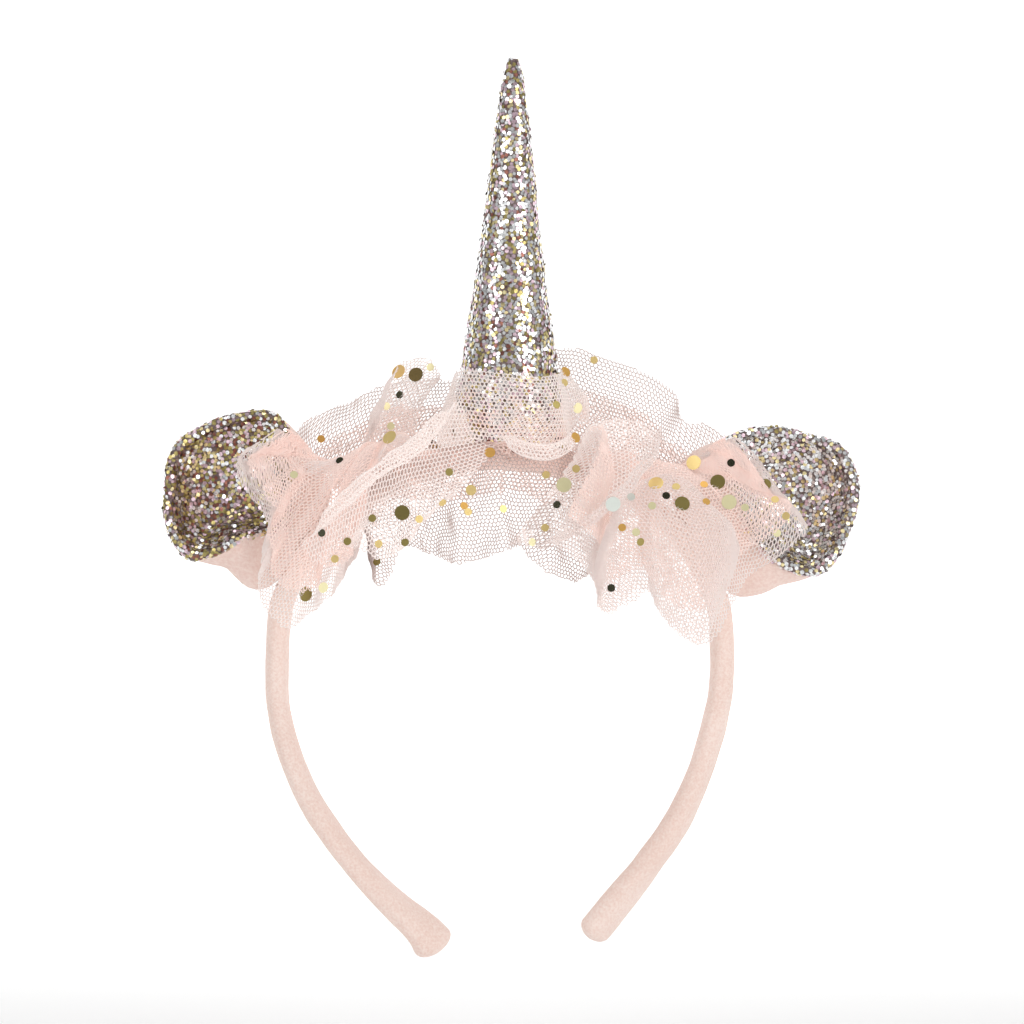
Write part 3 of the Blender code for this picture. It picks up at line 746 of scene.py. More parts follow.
def scatter(points, faces, spacing, seed):
    """Places spread over a surface of quads, none nearer than a spacing, with the normal at each."""
    rng = np.random.default_rng(seed)
    corners = points[faces]
    first = np.stack([corners[:, 0], corners[:, 1], corners[:, 2]], axis=1)
    second = np.stack([corners[:, 0], corners[:, 2], corners[:, 3]], axis=1)
    triangles = np.concatenate([first, second])
    normals = np.cross(triangles[:, 1] - triangles[:, 0], triangles[:, 2] - triangles[:, 0])
    areas = np.linalg.norm(normals, axis=1) / 2
    count = int(areas.sum() / spacing**2 * TRIES_PER_PLACE)
    chosen = np.searchsorted(np.cumsum(areas), rng.uniform(0, areas.sum(), count)).clip(0, len(areas) - 1)
    a, b = rng.uniform(0, 1, (2, count))
    over = a + b > 1
    a[over], b[over] = 1 - a[over], 1 - b[over]
    triangle = triangles[chosen]
    places = triangle[:, 0] + (triangle[:, 1] - triangle[:, 0]) * a[:, None]
    places += (triangle[:, 2] - triangle[:, 0]) * b[:, None]
    kept = spread_out(places, spacing)
    return places[kept], unit(normals[chosen[kept]]), rng


def spread_out(places, spacing):
    """Numbers of the places that are kept so that no two lie nearer than a spacing."""
    cells = {}
    kept = []
    keys = np.floor(places / spacing).astype(int).tolist()
    listed = places.tolist()
    for number, (i, j, k) in enumerate(keys):
        x, y, z = listed[number]
        clear = True
        for near in itertools.product((i - 1, i, i + 1), (j - 1, j, j + 1), (k - 1, k, k + 1)):
            for px, py, pz in cells.get(near, ()):
                if (px - x) ** 2 + (py - y) ** 2 + (pz - z) ** 2 < spacing**2:
                    clear = False
                    break
            if not clear:
                break
        if clear:
            cells.setdefault((i, j, k), []).append((x, y, z))
            kept.append(number)
    return np.array(kept)


def flakes(name, points, faces, tilt_deg, shares, seed):
    """Hexagonal flakes lying like scales on a surface, each facing a little its own way."""
    places, normals, rng = scatter(points, faces, FLAKE_SPACING, seed)
    count = len(places)
    loose = rng.uniform(0, 1, (count, 1)) < LOOSE_FLAKES
    tilt = np.tan(np.radians(np.where(loose, LOOSE_TILT_DEG, tilt_deg)))
    tilted = unit(normals + rng.normal(0, 1, (count, 3)) * tilt)
    helper = np.where(np.abs(tilted[:, :1]) < 0.7, [[1.0, 0, 0]], [[0, 1.0, 0]])
    side = unit(np.cross(tilted, helper))
    other = np.cross(tilted, side)
    sizes = FLAKE_RADIUS * rng.uniform(*FLAKE_SIZE_RANGE, count)
    turn = rng.uniform(0, math.tau, count)
    angle = turn[:, None] + np.arange(FLAKE_SIDES) * math.tau / FLAKE_SIDES
    lift = rng.uniform(*FLAKE_LIFT_RANGE, count) * FLAKE_RADIUS
    centre = places + normals * lift[:, None]
    ring = np.cos(angle)[..., None] * side[:, None] + np.sin(angle)[..., None] * other[:, None]
    corners = centre[:, None] + ring * sizes[:, None, None]
    faces = np.arange(count * FLAKE_SIDES).reshape(-1, FLAKE_SIDES)
    made = mesh_piece(name, corners, faces, FLAKES, False)
    kinds = rng.choice(len(shares), count, p=np.array(shares) / sum(shares))
    made.data.polygons.foreach_set("material_index", kinds.astype(np.int32))


def horn_axis(heights):
    """Points of the horn's axis at heights above its foot."""
    right, forward = (math.tan(math.radians(deg)) for deg in (HORN_LEAN_RIGHT_DEG, HORN_LEAN_FORWARD_DEG))
    return np.array(HORN_BASE) + np.asarray(heights)[..., None] * np.array([right, -forward, 1])


def horn():
    table = np.array(HORN_ROWS)
    heights = np.linspace(0, table[-1, 0], HORN_RINGS)
    radii = np.interp(heights, table[:, 0], table[:, 1])
    window = np.ones(HORN_SMOOTHING) / HORN_SMOOTHING
    radii = np.convolve(np.pad(radii, HORN_SMOOTHING // 2, mode="edge"), window, mode="valid")
    angle = np.linspace(0, math.tau, HORN_SIDES, endpoint=False)
    ring = np.stack([np.cos(angle), np.sin(angle), np.zeros(HORN_SIDES)], axis=-1)
    places = pairs(heights[:, None], angle[None] * HORN_MEAN_RADIUS)
    dents = 1 + HORN_DENTS * waves(places, HORN_SEED, *HORN_DENT_LENGTHS)
    cos_lean = math.cos(math.radians(HORN_LEAN_FORWARD_DEG))
    axis = horn_axis(heights * cos_lean)
    points = axis[:, None] + ring[None] * (radii[:, None] * dents)[..., None]
    faces = grid_faces(HORN_RINGS, HORN_SIDES, closed=True)
    cone = mesh_piece("horn_cone", points, closed_tube(HORN_RINGS, HORN_SIDES), [GLITTER_GROUND])
    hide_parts("horn")
    flakes("horn_glitter", points.reshape(-1, 3), faces, HORN_TILT_DEG, HORN_FLAKE_SHARES, HORN_FLAKE_SEED)


# Ears


def ear_surface(side):
    """Grid of the felt's inner face, from the rim to the deepest point."""
    middle = EAR_MIDDLES[side]
    turns = np.linspace(0, 360, EAR_ROUND_STEPS, endpoint=False)
    rim, belly, rim_y = smooth_round(metres(EARS[side], 1), turns).T
    belly = belly - FELT_WALL
    rim = np.minimum(rim, belly)
    cup = smooth(CUP_ROWS, np.linspace(0, len(CUP_ROWS) - 1, EAR_DEPTH_STEPS))
    depth, swell, shrink = (cup[:, k : k + 1] for k in range(3))
    reach = (rim + (belly - rim) * swell) * np.maximum(shrink, LEAST_CUP_REACH)
    angle = np.radians(turns)
    y = rim_y + (EAR_BACK_Y - FELT_WALL - rim_y) * depth
    return np.stack([middle[0] + reach * np.cos(angle), y, middle[1] + reach * np.sin(angle)], axis=-1)


def lining_surface(side):
    """Grid of the glitter cloth, from the outside of the rim, over it and down into the cup."""
    felt = ear_surface(side)
    middle = np.array([EAR_MIDDLES[side][0], 0, EAR_MIDDLES[side][1]])
    rim = felt[0]
    away = unit((rim - middle) * [1, 0, 1])
    roll = np.array(RIM_ROLL)
    roll = smooth(roll, np.linspace(0, len(roll) - 1, RIM_STEPS))
    over = rim[None] + away[None] * roll[:, None, :1] + np.array([0, 1, 0]) * roll[:, None, 1:]
    reach, fall = smooth(BOWL_ROWS, np.linspace(0, len(BOWL_ROWS) - 1, BOWL_STEPS)).T[:, 2:, None, None]
    centre = middle + [0, BOWL_MIDDLE_Y, 0]
    bowl = centre + (rim - centre) * reach
    bowl[..., 1:2] = rim[:, 1:2] + (BOWL_MIDDLE_Y - rim[:, 1:2]) * fall
    return np.concatenate([over, bowl])


def cup_piece(name, points, wall, material):
    """A cup given a wall, with its bottom closed."""
    faces = [tuple(f) for f in grid_faces(*points.shape[:2], closed=True)]
    last = (points.shape[0] - 1) * points.shape[1]
    faces.append(tuple(range(last, last + points.shape[1])))
    made = mesh_piece(name, points, [f[::-1] for f in faces], [material])
    thicken = made.modifiers.new("wall", "SOLIDIFY")
    thicken.thickness = wall
    thicken.offset = 1
    return made


def ear(side):
    shell = cup_piece(f"ear_felt_{side}", ear_surface(side), FELT_WALL, FELT)
    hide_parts(f"ear_shell_{side}")
    points = lining_surface(side)
    lining = cup_piece(f"ear_cloth_{side}", points, LINING_CLOTH, GLITTER_GROUND)
    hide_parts(f"ear_lining_{side}")
    quads = grid_faces(*points.shape[:2], closed=True)
    seed = EAR_FLAKE_SEED + len(side)
    # The ear's flake mix carries the painted light and shade set for that side
    flakes(f"ear_glitter_{side}", points.reshape(-1, 3), quads, EAR_TILT_DEG, EAR_FLAKE_SHARES_PAINTED_LIGHT_AND_SHADE[side], seed)


# Tulle


def frill_rows(folds, side, above, forward):
    """Root, turning point and hem of every fold of a frill."""
    centre, outward = crown_points(folds[:, 0])
    from_horn = (centre[:, 0] - HORN_BASE[0]) / HORN_BYPASS
    swing = (HORN_BYPASS - BAND_WIDTH / 2) * np.exp(-np.abs(from_horn) ** HORN_BYPASS_SHARPNESS)
    root = centre + outward * above
    root[:, 1] += side * (forward + swing)
    turn = root + outward * folds[:, 1:2]
    turn[:, 0] += folds[:, 3]
    turn[:, 1] += side * folds[:, 2]
    return np.concatenate([root, turn, folds[:, 4:7]], axis=1)


def collar_rows():
    folds = metres(HORN_COLLAR, 1)
    angle = np.radians(folds[:, 0])
    outward = np.stack([np.cos(angle), np.sin(angle), np.zeros(len(folds))], axis=1)
    heights = folds[:, 1] - HORN_BASE[2]
    table = np.array(HORN_ROWS)
    radii = np.interp(heights, table[:, 0], table[:, 1]) + COLLAR_GAP
    root = horn_axis(heights) + outward * radii[:, None]
    hem = folds[:, 2:5]
    turn = (root + hem) / 2 + outward * folds[:, 5:6]
    return np.concatenate([root, turn, hem], axis=1)


def fold_surface(rows, places, v):
    """Points of the gathered sheet at fractional fold numbers and shares of the way to the hem."""
    read = smooth(rows, places.ravel()).reshape(*places.shape, 9)
    root, turn, hem = read[..., :3], read[..., 3:6], read[..., 6:]
    v = v[..., None]
    return root * (1 - v) ** 2 + turn * 2 * v * (1 - v) + hem * v**2


def sheet_grid(rows, layer, level, seed):
    """A fine grid of one pleated layer, and the flat place of each of its points."""
    stand_off, reach, crease, pleat, lean = layer
    columns = len(rows) * GRID_ALONG
    v = np.linspace(0, 1, GRID_DOWN)
    plain_places = np.linspace(0, len(rows) - 1, columns)
    plain = fold_surface(rows, *np.broadcast_arrays(plain_places[:, None], v * reach))
    at = int(level * (GRID_DOWN - 1))
    run = run_along(plain[:, at])
    even = np.linspace(0, run[-1], columns)
    wander = waves(pairs(even[:, None], v * SHEET_DEPTH), seed + 5, *PLEAT_WANDER_LENGTHS, 8)
    phase = even[:, None] * (math.tau / PLEAT_PITCH) + PLEAT_WANDER * wander
    ease = np.clip(v / PLEAT_START, 0, 1)
    ease *= PLEAT_LEAST + PLEAT_SWELL * np.exp(-(((v - PLEAT_PEAK) / PLEAT_SPREAD) ** 2))
    swing = np.sin(phase) * ease * np.clip(np.minimum(even, run[-1] - even) / PLEAT_FREE_EDGE, 0, 1)[:, None]
    moved = np.interp(even[:, None] + pleat * swing, run, plain_places)
    grid = fold_surface(rows, *np.broadcast_arrays(moved, v * reach))
    upright = grid_normals(plain)
    loose = np.clip(v * LOOSENS, 0, 1)
    wrinkles = waves(pairs(even[:, None], run_along(grid, 1)), seed, *CREASE_LENGTHS)
    shift = stand_off * loose - lean * swing + crease * loose * wrinkles
    index = np.interp(moved, plain_places, np.arange(columns))
    low = np.clip(index.astype(int), 0, columns - 1)
    grid = grid + upright[low, np.arange(GRID_DOWN)] * shift[..., None]
    return grid, flat_places(grid)


def flat_places(grid):
    """Where each point of a grid lies on the cloth when flat: along it from the middle fold, and down."""
    along = run_along(grid)
    return pairs(along - along[len(grid) // 2], run_along(grid, 1))


def lattice(low, high):
    """Junctions of a hexagonal net over a flat rectangle, and the threads that join them."""
    bond = NET_PITCH / math.sqrt(3)
    width, length = high - low
    rows = int(length / (1.5 * bond)) + 3
    columns = int(width / NET_PITCH) + 3
    i, j = np.meshgrid(np.arange(-rows // 2 - 1, columns), np.arange(-1, rows), indexing="ij")
    base = low + np.stack([NET_PITCH * (i + j / 2), 1.5 * bond * j], axis=-1)
    index = np.arange(i.size).reshape(i.shape)
    tips = np.concatenate([base.reshape(-1, 2), (base + [0, bond]).reshape(-1, 2)])
    bonds = [
        np.stack([index.ravel(), index.ravel() + i.size], axis=1),
        np.stack([index[:, 1:].ravel(), index[:, :-1].ravel() + i.size], axis=1),
        np.stack([index[:-1, 1:].ravel(), index[1:, :-1].ravel() + i.size], axis=1),
    ]
    return tips, np.concatenate(bonds)


def find_on_sheet(flat, places):
    """Fractional rows and columns of a sheet's grid at flat places, and which of them lie on the cloth."""
    lines, levels = flat.shape[:2]
    numbers = np.arange(lines)
    v = np.full(len(places), (levels - 1) * 0.5)
    for _ in range(SEARCH_ROUNDS):
        low = np.clip(v.astype(int), 0, levels - 2)
        u = np.empty(len(places))
        for level in np.unique(low):
            here = low == level
            near = np.interp(places[here, 0], flat[:, level, 0], numbers)
            far = np.interp(places[here, 0], flat[:, level + 1, 0], numbers)
            u[here] = near + (far - near) * (v[here] - level)
        line = np.clip(u.astype(int), 0, lines - 2)
        share = (u - line)[:, None]
        down = flat[line, :, 1] * (1 - share) + flat[line + 1, :, 1] * share
        step = np.clip((down <= places[:, 1:]).sum(axis=1) - 1, 0, levels - 2)
        rows = np.arange(len(places))
        start, end = down[rows, step], down[rows, step + 1]
        share = ((places[:, 1] - start) / np.maximum(end - start, TINY)).clip(0, 1)
        v = v * SEARCH_KEPT + SEARCH_MOVED * (step + share)
    inside = (u > 0) & (u < lines - 1) & (places[:, 1] > 0) & (places[:, 1] < down[:, -1])
    return u, v, inside


def read_grid(values, u, v):
    """Values of a grid at fractional rows and columns."""
    i = np.clip(u.astype(int), 0, values.shape[0] - 2)
    j = np.clip(v.astype(int), 0, values.shape[1] - 2)
    a, b = (u - i)[:, None], (v - j)[:, None]
    near = values[i, j] * (1 - a) + values[i + 1, j] * a
    far = values[i, j + 1] * (1 - a) + values[i + 1, j + 1] * a
    return near * (1 - b) + far * b


def net(name, node, grid, flat, seed, material, bare_top=0.0):
    """Open net of real threads over a sheet, which may start some way below the sheet's top."""
    rng = np.random.default_rng(seed)
    low, high = flat.reshape(-1, 2).min(axis=0), flat.reshape(-1, 2).max(axis=0)
    tips, bonds = lattice(low, high)
    tips = tips + rng.normal(0, THREAD_JITTER * NET_PITCH, tips.shape)
    u, v, inside = find_on_sheet(flat, tips)
    inside &= tips[:, 1] > bare_top * (1 + RAGGED * waves(tips, seed + 9, *RAGGED_LENGTHS))
    points = read_grid(grid, u, v)
    normals = read_grid(grid_normals(grid), u, v)
    bonds = bonds[inside[bonds].all(axis=1)]
    start, end = points[bonds[:, 0]], points[bonds[:, 1]]
    way = unit(end - start)
    up = unit(normals[bonds[:, 0]] + normals[bonds[:, 1]])
    side = unit(np.cross(way, up))
    up = np.cross(side, way)
    angle = np.radians(THREAD_CORNERS_DEG)
    radius = THREAD_SIDE / math.sqrt(3)
    ring = side[:, None] * np.cos(angle)[None, :, None] + up[:, None] * np.sin(angle)[None, :, None]
    corners = np.concatenate([start[:, None] + ring * radius, end[:, None] + ring * radius], axis=1)
    first = (np.arange(len(bonds)) * len(THREAD_CORNERS_DEG) * 2)[:, None, None]
    quads = np.array(THREAD_FACES)[None]
    made = mesh_piece(name, corners, (first + quads).reshape(-1, 4), [material], False)
    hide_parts(node)


# Layers of each frill: stand-off, share of the way to the hem, creasing, pleat swing, pleat lean
OUTER_LAYER = (0.0, 1.0, 0.0006, 0.0, 0.0)
SOFT_OUTER_LAYER = (0.0, 1.0, 0.0007, 0.0, 0.0)
WING_LAYERS = (OUTER_LAYER, (-0.0016, 0.92, 0.0008, 0.0030, 0.0010))
LAYERS = {
    "tulle_wing_left": WING_LAYERS,
    "tulle_wing_right": WING_LAYERS,
    "tulle_middle_frill": (
        OUTER_LAYER,
        (0.0016, 0.70, 0.0008, 0.0030, 0.0010),
        (0.0032, 0.50, 0.0008, 0.0030, 0.0010),
    ),
    "tulle_puff_left": (SOFT_OUTER_LAYER, (-0.0014, 0.60, 0.0008, 0.0025, 0.0008)),
    "tulle_back_frill": (SOFT_OUTER_LAYER, (-0.0018, 0.72, 0.0009, 0.0030, 0.0010)),
    "tulle_horn_collar": ((0.0, 1.0, 0.0005, 0.0, 0.0), (0.0010, 0.96, 0.0006, 0.0, 0.0)),
}
# How far the collar's two layers are bare below the seam
COLLAR_BARE_TOPS = (0.0012, 0.0120)
# Share of the way down at which the folds are spaced out evenly
COLLAR_LEVEL = 0.15
FRILL_LEVEL = 0.72
# Panels of one layer over the frills: the node that they belong to, and their rows
PANELS = {
    "net_panel_right": ("tulle_wing_right", RIGHT_PANEL),
    "net_lobe_right": ("tulle_wing_right", RIGHT_LOBE),
    "net_swath_left": ("tulle_wing_left", LEFT_SWATH),
}
# The middle frill's net starts further back than its wall, and rises more, by the first of these.
# It starts higher by the second.
MIDDLE_LIFT = (0.0028, 0.0030)
# Rolled folds: the part of a turn that the cloth covers, and how far it tightens
ROLL_SPAN_DEG = (-130, 330)
ROLL_TIGHTENS = 0.72
ROLL_STATIONS = 90
ROLL_SIDES = 40
ROLL_END_STATIONS = 12
ROLL_END_SHARE = 0.25
ROLL_SWELL = 0.22
ROLL_SWELL_LENGTHS = (0.02, 0.006)
ROLL_MEAN_REACH = 0.004


def roll_grid(path, seed):
    """A fold rolled on itself: an open tube of cloth along a path, and its flat places."""
    path = metres(path)
    path = smooth(path, np.linspace(0, len(path) - 1, ROLL_STATIONS))
    centre, radius = path[:, :3], path[:, 3]
    station = np.arange(ROLL_STATIONS)
    ends = np.clip(np.minimum(station, station[::-1]) / ROLL_END_STATIONS, ROLL_END_SHARE, 1)
    tangent = unit(np.gradient(centre, axis=0))
    front = unit(np.cross(tangent, np.cross(np.array([0, -1.0, 0]), tangent)))
    side = np.cross(tangent, front)
    angle = np.radians(np.linspace(*ROLL_SPAN_DEG, ROLL_SIDES))
    places = pairs(run_along(centre)[:, None], angle[None] * ROLL_MEAN_REACH)
    swell = 1 + ROLL_SWELL * waves(places, seed, *ROLL_SWELL_LENGTHS)
    reach = radius[:, None] * ends[:, None] * swell
    ring = front[:, None] * np.cos(angle)[None, :, None] + side[:, None] * np.sin(angle)[None, :, None]
    coil = np.linspace(1, ROLL_TIGHTENS, len(angle))
    grid = centre[:, None] + ring * (reach * coil)[..., None]
    return grid, flat_places(grid)


def tulle():
    """Every piece of net, and the grids that the dots are set on."""
    sheets = []
    for node, folds, side, above, forward in SEAMS:
        folds = metres(folds, 1)
        if node == "tulle_middle_frill":
            folds[:, 1] += MIDDLE_LIFT[0]
            above += MIDDLE_LIFT[1]
            forward -= MIDDLE_LIFT[0]
        rows = frill_rows(folds, side, above, forward)
        sheets.append((node.replace("tulle", "net"), node, rows, LAYERS[node]))
    collar = "tulle_horn_collar"
    sheets.append(("net_horn_collar", collar, collar_rows(), LAYERS[collar]))
    for name, (node, rows) in PANELS.items():
        sheets.append((name, node, metres(rows), (OUTER_LAYER,)))
    made = {}
    for number, (name, node, rows, layers) in enumerate(sheets):
        level = COLLAR_LEVEL if node == collar else FRILL_LEVEL
        for count, layer in enumerate(layers):
            seed = LAYER_SEED + number * SEEDS_PER_SHEET + count
            grid, flat = sheet_grid(rows, layer, level, seed)
            piece = f"{name}_{count + 1}"
            bare_top = COLLAR_BARE_TOPS[count] if node == collar else 0.0
            # Each sheet's tint paints its light and shade onto the one net cloth
            painted_light_tint = SHEET_PAINTED_LIGHT_TINTS.get(piece, LAYER_PAINTED_LIGHT_TINTS[count])
            net(piece, node, grid, flat, seed, NETS[painted_light_tint], bare_top)
            made[piece] = grid
    for number, (name, (node, path)) in enumerate(ROLLS.items()):
        seed = ROLL_SEED + number
        grid, flat = roll_grid(path, seed)
        # The roll's tint paints its light and shade onto the one net cloth
        net(name, node, grid, flat, seed, NETS[SHEET_PAINTED_LIGHT_TINTS.get(name, "light")])
        made[name] = grid
    return made


# Foil dots

# Dots seen from the front: x and z where they show in the band's plane and radius, in millimetres, and foil
DOTS = (
    (-23.5, 26.6, 2.1, "bronze"),
    (-30.8, 9, 2.1, "gold"),
    (-27.4, -12, 2.1, "olive"),
    (17.9, -4.2, 2.1, "pale"),
    (43.7, -3.9, 2.1, "gold"),
    (51, -9.5, 2.1, "olive"),
    (31.6, -9.5, 2.1, "pearl"),
    (54.3, 2, 2.1, "gold"),
    (61, -3.4, 2.1, "olive"),
    (64.1, -9, 2.1, "pale"),
    (74.5, -3.9, 1.5, "olive"),
    (-54.6, -34.7, 2.1, "olive"),
    (-49.3, -33, 1.5, "pale"),
    (-28.6, 27.7, 2.1, "gold"),
    (-28, 21, 1.1, "dark"),
    (-14.3, -0.6, 1.1, "olive"),
    (-16.2, -9, 1.1, "gold"),
    (-22.7, -13.7, 1.1, "gold"),
    (-35.8, -13.4, 1.1, "olive"),
    (-2.8, 4.8, 1.5, "orange"),
    (-8.1, -5.6, 1.5, "gold"),
    (-10.1, -10.1, 1.1, "orange"),
    (16, -9.8, 1.1, "dark"),
    (12.9, -1.4, 1.1, "gold"),
    (15.7, 18.2, 1.1, "olive"),
    (26.3, 30.8, 1.1, "gold"),
    (18.2, 27.4, 1.5, "orange"),
    (17.9, 24.4, 1.1, "gold"),
    (21.6, 17.4, 1.5, "pale"),
    (21, 9, 1.5, "orange"),
    (21.3, 0.3, 1.1, "gold"),
    (12.6, -16.2, 1.1, "gold"),
    (9.2, -20.2, 1.1, "pale"),
    (46.5, -7.3, 1.1, "dark"),
    (42.6, -10.1, 1.1, "pale"),
    (36.7, -7.6, 1.1, "pearl"),
    (34.2, -16.2, 1.1, "orange"),
    (38.1, -17.4, 1.1, "pale"),
    (39.5, -20.2, 1.1, "olive"),
    (57.1, -4.2, 1.1, "orange"),
    (68.6, -10.6, 1.1, "pale"),
    (64.7, 2, 1.1, "dark"),
    (49.3, -4.8, 1.1, "gold"),
    (31.1, -33, 1.1, "dark"),
    (77, -8.4, 1.1, "gold"),
    (80.1, -12.9, 1.1, "gold"),
    (77.6, -17.6, 1.1, "pale"),
    (57.7, -9, 1.1, "orange"),
    (-44.8, 2.5, 1.1, "dark"),
    (-49.8, -17.6, 1.1, "dark"),
    (-42.8, -19.9, 1.1, "olive"),
    (-50.1, 8.7, 1.1, "orange"),
    (-57.7, -1.4, 1.1, "pale"),
    (-26.6, -20.2, 1.1, "olive"),
    (-33.9, -20.7, 1.1, "gold"),
    (-34.4, -25.8, 1.1, "olive"),
    (-46.2, -24.9, 1.1, "gold"),
    (-30.5, 12.3, 1.1, "pale"),
    (-31.9, 17.9, 1.1, "pale"),
    (-19.6, 28.8, 1.1, "pale"),
    (-9, -11.8, 1.1, "gold"),
    (0.8, -10.9, 1.1, "gold"),
)
DOT_SIDES = 18
DOT_STAND = 0.00035
DOT_TURN = 0.4
# Dots behind the band: places that are tried, the bounds of those that are kept, and their radii
LOOSE_DOTS = 260
LOOSE_DOT_FRONT = 0.004
LOOSE_DOT_TOP = 0.014
LOOSE_DOT_RADII = (0.0011, 0.0012, 0.0012, 0.0021)


def dot_surface(grids):
    """One search tree over all the net."""
    points, faces = [], []
    for grid in grids.values():
        rows, columns = grid.shape[:2]
        quads = grid_faces(rows, columns) + len(points)
        points.extend(grid.reshape(-1, 3).tolist())
        faces.extend(quads.tolist())
    return BVHTree.FromPolygons(points, faces)


def dot(centre, normal, radius, turn):
    """Corners of one disc of foil."""
    normal = normal.normalized()
    side = normal.orthogonal().normalized()
    other = normal.cross(side)
    angles = [turn + math.tau * k / DOT_SIDES for k in range(DOT_SIDES)]
    return [centre + side * (radius * math.cos(a)) + other * (radius * math.sin(a)) for a in angles]


def dots(grids):
    tree = dot_surface(grids)
    eye = aim_point() - Vector((0, CAMERA_DISTANCE, 0))
    rng = np.random.default_rng(DOT_SEED)
    kinds = list(FOILS)
    points, faces, looks = [], [], []
    seen = metres([row[:3] for row in DOTS]).tolist()
    for (x, z, radius), (*_, kind) in zip(seen, DOTS):
        way = (Vector((x, 0, z)) - eye).normalized()
        hit, normal, _, _ = tree.ray_cast(eye, way)
        if normal.dot(way) > 0:
            normal = -normal
        normal = (normal * (1 - DOT_TURN) - way * DOT_TURN).normalized()
        faces.append(range(len(points), len(points) + DOT_SIDES))
        points.extend(dot(hit + normal * DOT_STAND, normal, radius, rng.uniform(0, 1)))
        looks.append(kinds.index(kind))
    names = sorted(grids)
    for _ in range(LOOSE_DOTS):
        grid = grids[names[rng.integers(len(names))]]
        row, column = rng.integers(3, grid.shape[0] - 3), rng.integers(6, grid.shape[1] - 3)
        place = Vector(grid[row, column])
        across = Vector(grid[row + 1, column] - grid[row - 1, column])
        normal = across.cross(Vector(grid[row, column + 1] - grid[row, column - 1])).normalized()
        radius = LOOSE_DOT_RADII[rng.integers(len(LOOSE_DOT_RADII))]
        if place.y < LOOSE_DOT_FRONT or place.z > LOOSE_DOT_TOP:
            continue
        if normal.y * place.y < 0:
            normal = -normal
        faces.append(range(len(points), len(points) + DOT_SIDES))
        points.extend(dot(place + normal * DOT_STAND, normal, radius, rng.uniform(0, 1)))
        looks.append(int(rng.integers(len(kinds))))
    made = mesh_piece("foil_dots", points, [tuple(face) for face in faces], list(FOILS.values()), False)
    made.data.polygons.foreach_set("material_index", np.array(looks, dtype=np.int32))


# Stage: a floor that sweeps up far behind the piece, beyond any camera
FLOOR_Z = -0.17
SWEEP_FRONT_Y = -4.0
SWEEP_BEND_Y = 2.0
SWEEP_BEND = 2.4
SWEEP_TOP_Z = 8.8
SWEEP_HALF_WIDTH = 12.0
SWEEP_STEPS = 15
GLOW_FROM_Y = (0.1, 0.9)
GLOW_STRENGTHS = (0.05, 0.7)
# Soft boxes, all aimed at the origin: name, place, width and height, and power in watts
LIGHTS = (
    ("left_box", (-0.70, -0.75, 0.40), (0.42, 0.9), 2.6),
    ("right_box", (0.72, -0.72, 0.22), (0.40, 0.9), 3.8),
    ("top_box", (0.0, -0.15, 0.9), (0.7, 0.5), 1.6),
)
WORLD_STRENGTH = 0.41


def stage():
    """A pale floor that sweeps up behind the piece and glows more towards the back."""
    rise = np.linspace(0, math.pi / 2, SWEEP_STEPS)
    profile = [(SWEEP_FRONT_Y, FLOOR_Z)]
    profile += [
        (SWEEP_BEND_Y + SWEEP_BEND * math.sin(a), FLOOR_Z + SWEEP_BEND * (1 - math.cos(a))) for a in rise
    ]
    profile += [(SWEEP_BEND_Y + SWEEP_BEND, SWEEP_TOP_Z)]
    points = [(x, y, z) for y, z in profile for x in (-SWEEP_HALF_WIDTH, SWEEP_HALF_WIDTH)]
    faces = [(2 * k, 2 * k + 1, 2 * k + 3, 2 * k + 2) for k in range(len(profile) - 1)]
    mesh = bpy.data.meshes.new("sweep")
    mesh.from_pydata(points, [], faces)
    mesh.shade_smooth()
    paper, tree, shader = principled("paper", (0.95, 0.95, 0.95), 0.9)
    shader.inputs["Emission Color"].default_value = (1, 1, 1, 1)
    split = add_node(tree, "ShaderNodeSeparateXYZ")
    tree.links.new(object_coordinates(tree), split.inputs["Vector"])
    glow = spread(tree, split.outputs["Y"], *GLOW_FROM_Y, *GLOW_STRENGTHS)
    tree.links.new(glow, shader.inputs["Emission Strength"])
    mesh.materials.append(paper)
    add_object("sweep", mesh)


def lights():
    for name, place, size, power in LIGHTS:
        data = bpy.data.lights.new(name, "AREA")
        data.shape = "RECTANGLE"
        data.size, data.size_y = size
        data.energy = power
        made = add_object(name, data)
        made.location = place
        made.rotation_euler = (-Vector(place)).to_track_quat("-Z", "Y").to_euler()
    world = bpy.data.worlds.new("studio")
    bpy.context.scene.world = world
    world.use_nodes = True
    back = world.node_tree.nodes["Background"]
    back.inputs["Color"].default_value = (1, 1, 1, 1)
    back.inputs["Strength"].default_value = WORLD_STRENGTH
    bpy.context.scene.view_settings.view_transform = "Standard"


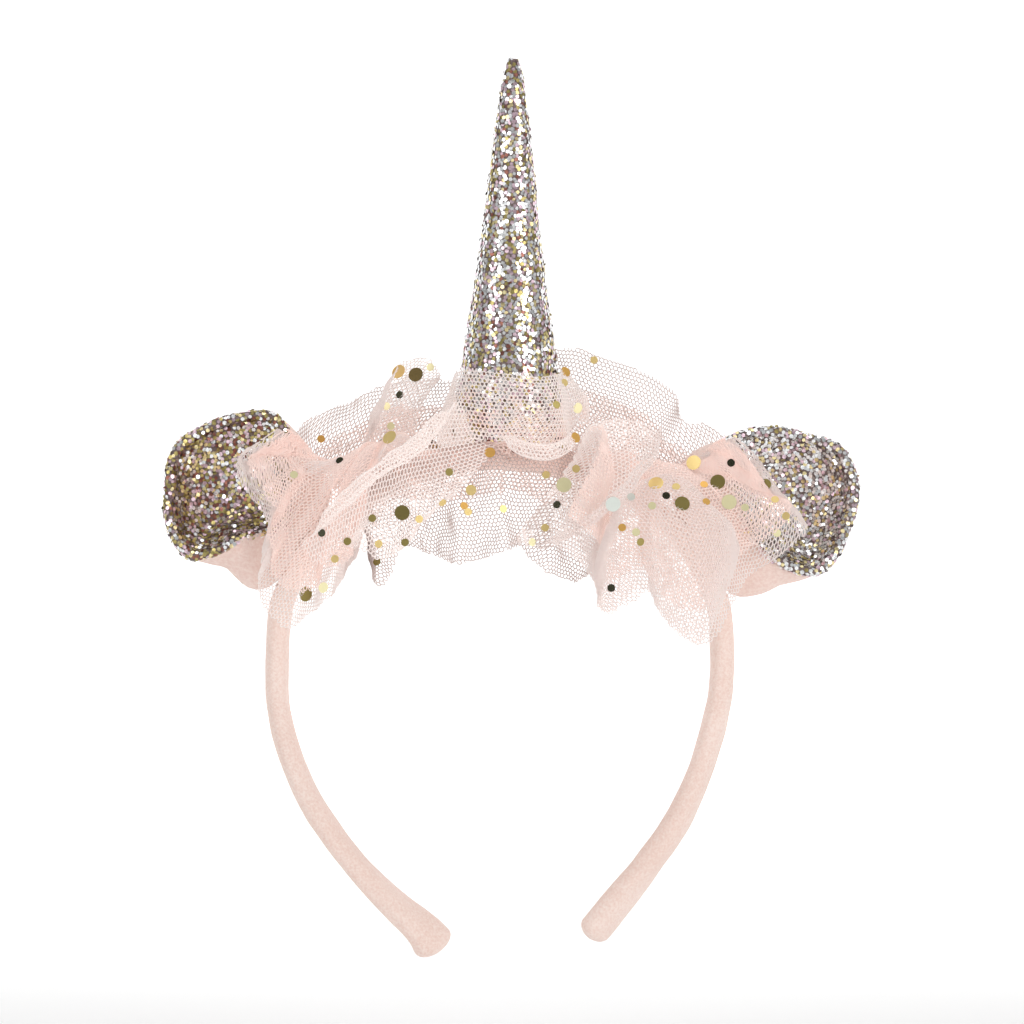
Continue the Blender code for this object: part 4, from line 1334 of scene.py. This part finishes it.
VELOUR = nap_material("pink_velour", (0.93, 0.77, 0.70), (0.84, 0.62, 0.54), 1500.0, 0.5)
FELT = nap_material("pink_felt", (0.92, 0.74, 0.67), (0.83, 0.60, 0.53), 1100.0, 0.6)
# The net is one cloth. Its five tints are lit and shaded copies of it: the light tint and, a little darker,
# the middle tint carry painted light, and the shaded, inner and deep tints carry painted shade. All but the
# shaded tint also have a painted glow.
NETS = {
    "light": net_material("tulle_painted_light", (0.94, 0.86, 0.83), (0.99, 0.94, 0.92), 0.12),
    "middle": net_material("tulle_middle", (0.88, 0.80, 0.77), (0.96, 0.90, 0.88), 0.08),
    "shaded": net_material("tulle_shaded", (0.73, 0.64, 0.61), (0.86, 0.78, 0.755), 0.0),
    "inner": net_material("tulle_inner_painted_shade", (0.93, 0.78, 0.73), (0.98, 0.87, 0.83), 0.14),
    "deep": net_material("tulle_deep_painted_shade", (0.92, 0.74, 0.68), (0.97, 0.83, 0.78), 0.16),
}
# Outer sheets that don't take the light tint: the ones free over white take the painted-shade tint, the
# fuller ones the middle tint
SHEET_PAINTED_LIGHT_TINTS = {
    "net_back_frill_1": "shaded",
    "net_middle_frill_1": "shaded",
    "net_puff_left_1": "middle",
    "net_wing_left_1": "middle",
    "net_wing_right_1": "middle",
    "net_lobe_right_1": "middle",
    "net_roll_right": "middle",
}
# Tints of a frill's layers from the outside in: painted light on the outer layer, pinker painted shade on the
# inner and deep ones
LAYER_PAINTED_LIGHT_TINTS = ("light", "inner", "deep")
FOILS = {
    "olive": foil_material("foil_olive", (0.26, 0.21, 0.07), 0.32),
    "gold": foil_material("foil_gold", (0.86, 0.66, 0.28), 0.35),
    "bronze": foil_material("foil_bronze", (0.10, 0.07, 0.025), 0.32),
    "pale": foil_material("foil_pale", (0.88, 0.82, 0.50), 0.38),
    "orange": foil_material("foil_orange", (0.86, 0.50, 0.14), 0.35),
    "dark": foil_material("foil_dark", (0.05, 0.05, 0.03), 0.25),
    "pearl": foil_material("foil_pearl", (0.70, 0.74, 0.69), 0.45),
}
GLITTER_GROUND, _, _ = principled("glitter_ground", (0.22, 0.16, 0.15), 0.6, 0.3)
FLAKES = [
    flake_material("flake_silver", (0.92, 0.93, 0.94), 0.22),
    flake_material("flake_gold", (0.90, 0.76, 0.42), 0.26),
    flake_material("flake_olive", (0.46, 0.38, 0.15), 0.30),
    flake_material("flake_mauve", (0.80, 0.60, 0.68), 0.28),
    flake_material("flake_dark", (0.30, 0.13, 0.10), 0.35),
]

add_camera()
stage()
lights()
band()
horn()
for ear_side in EARS:
    ear(ear_side)
net_grids = tulle()
dots(net_grids)
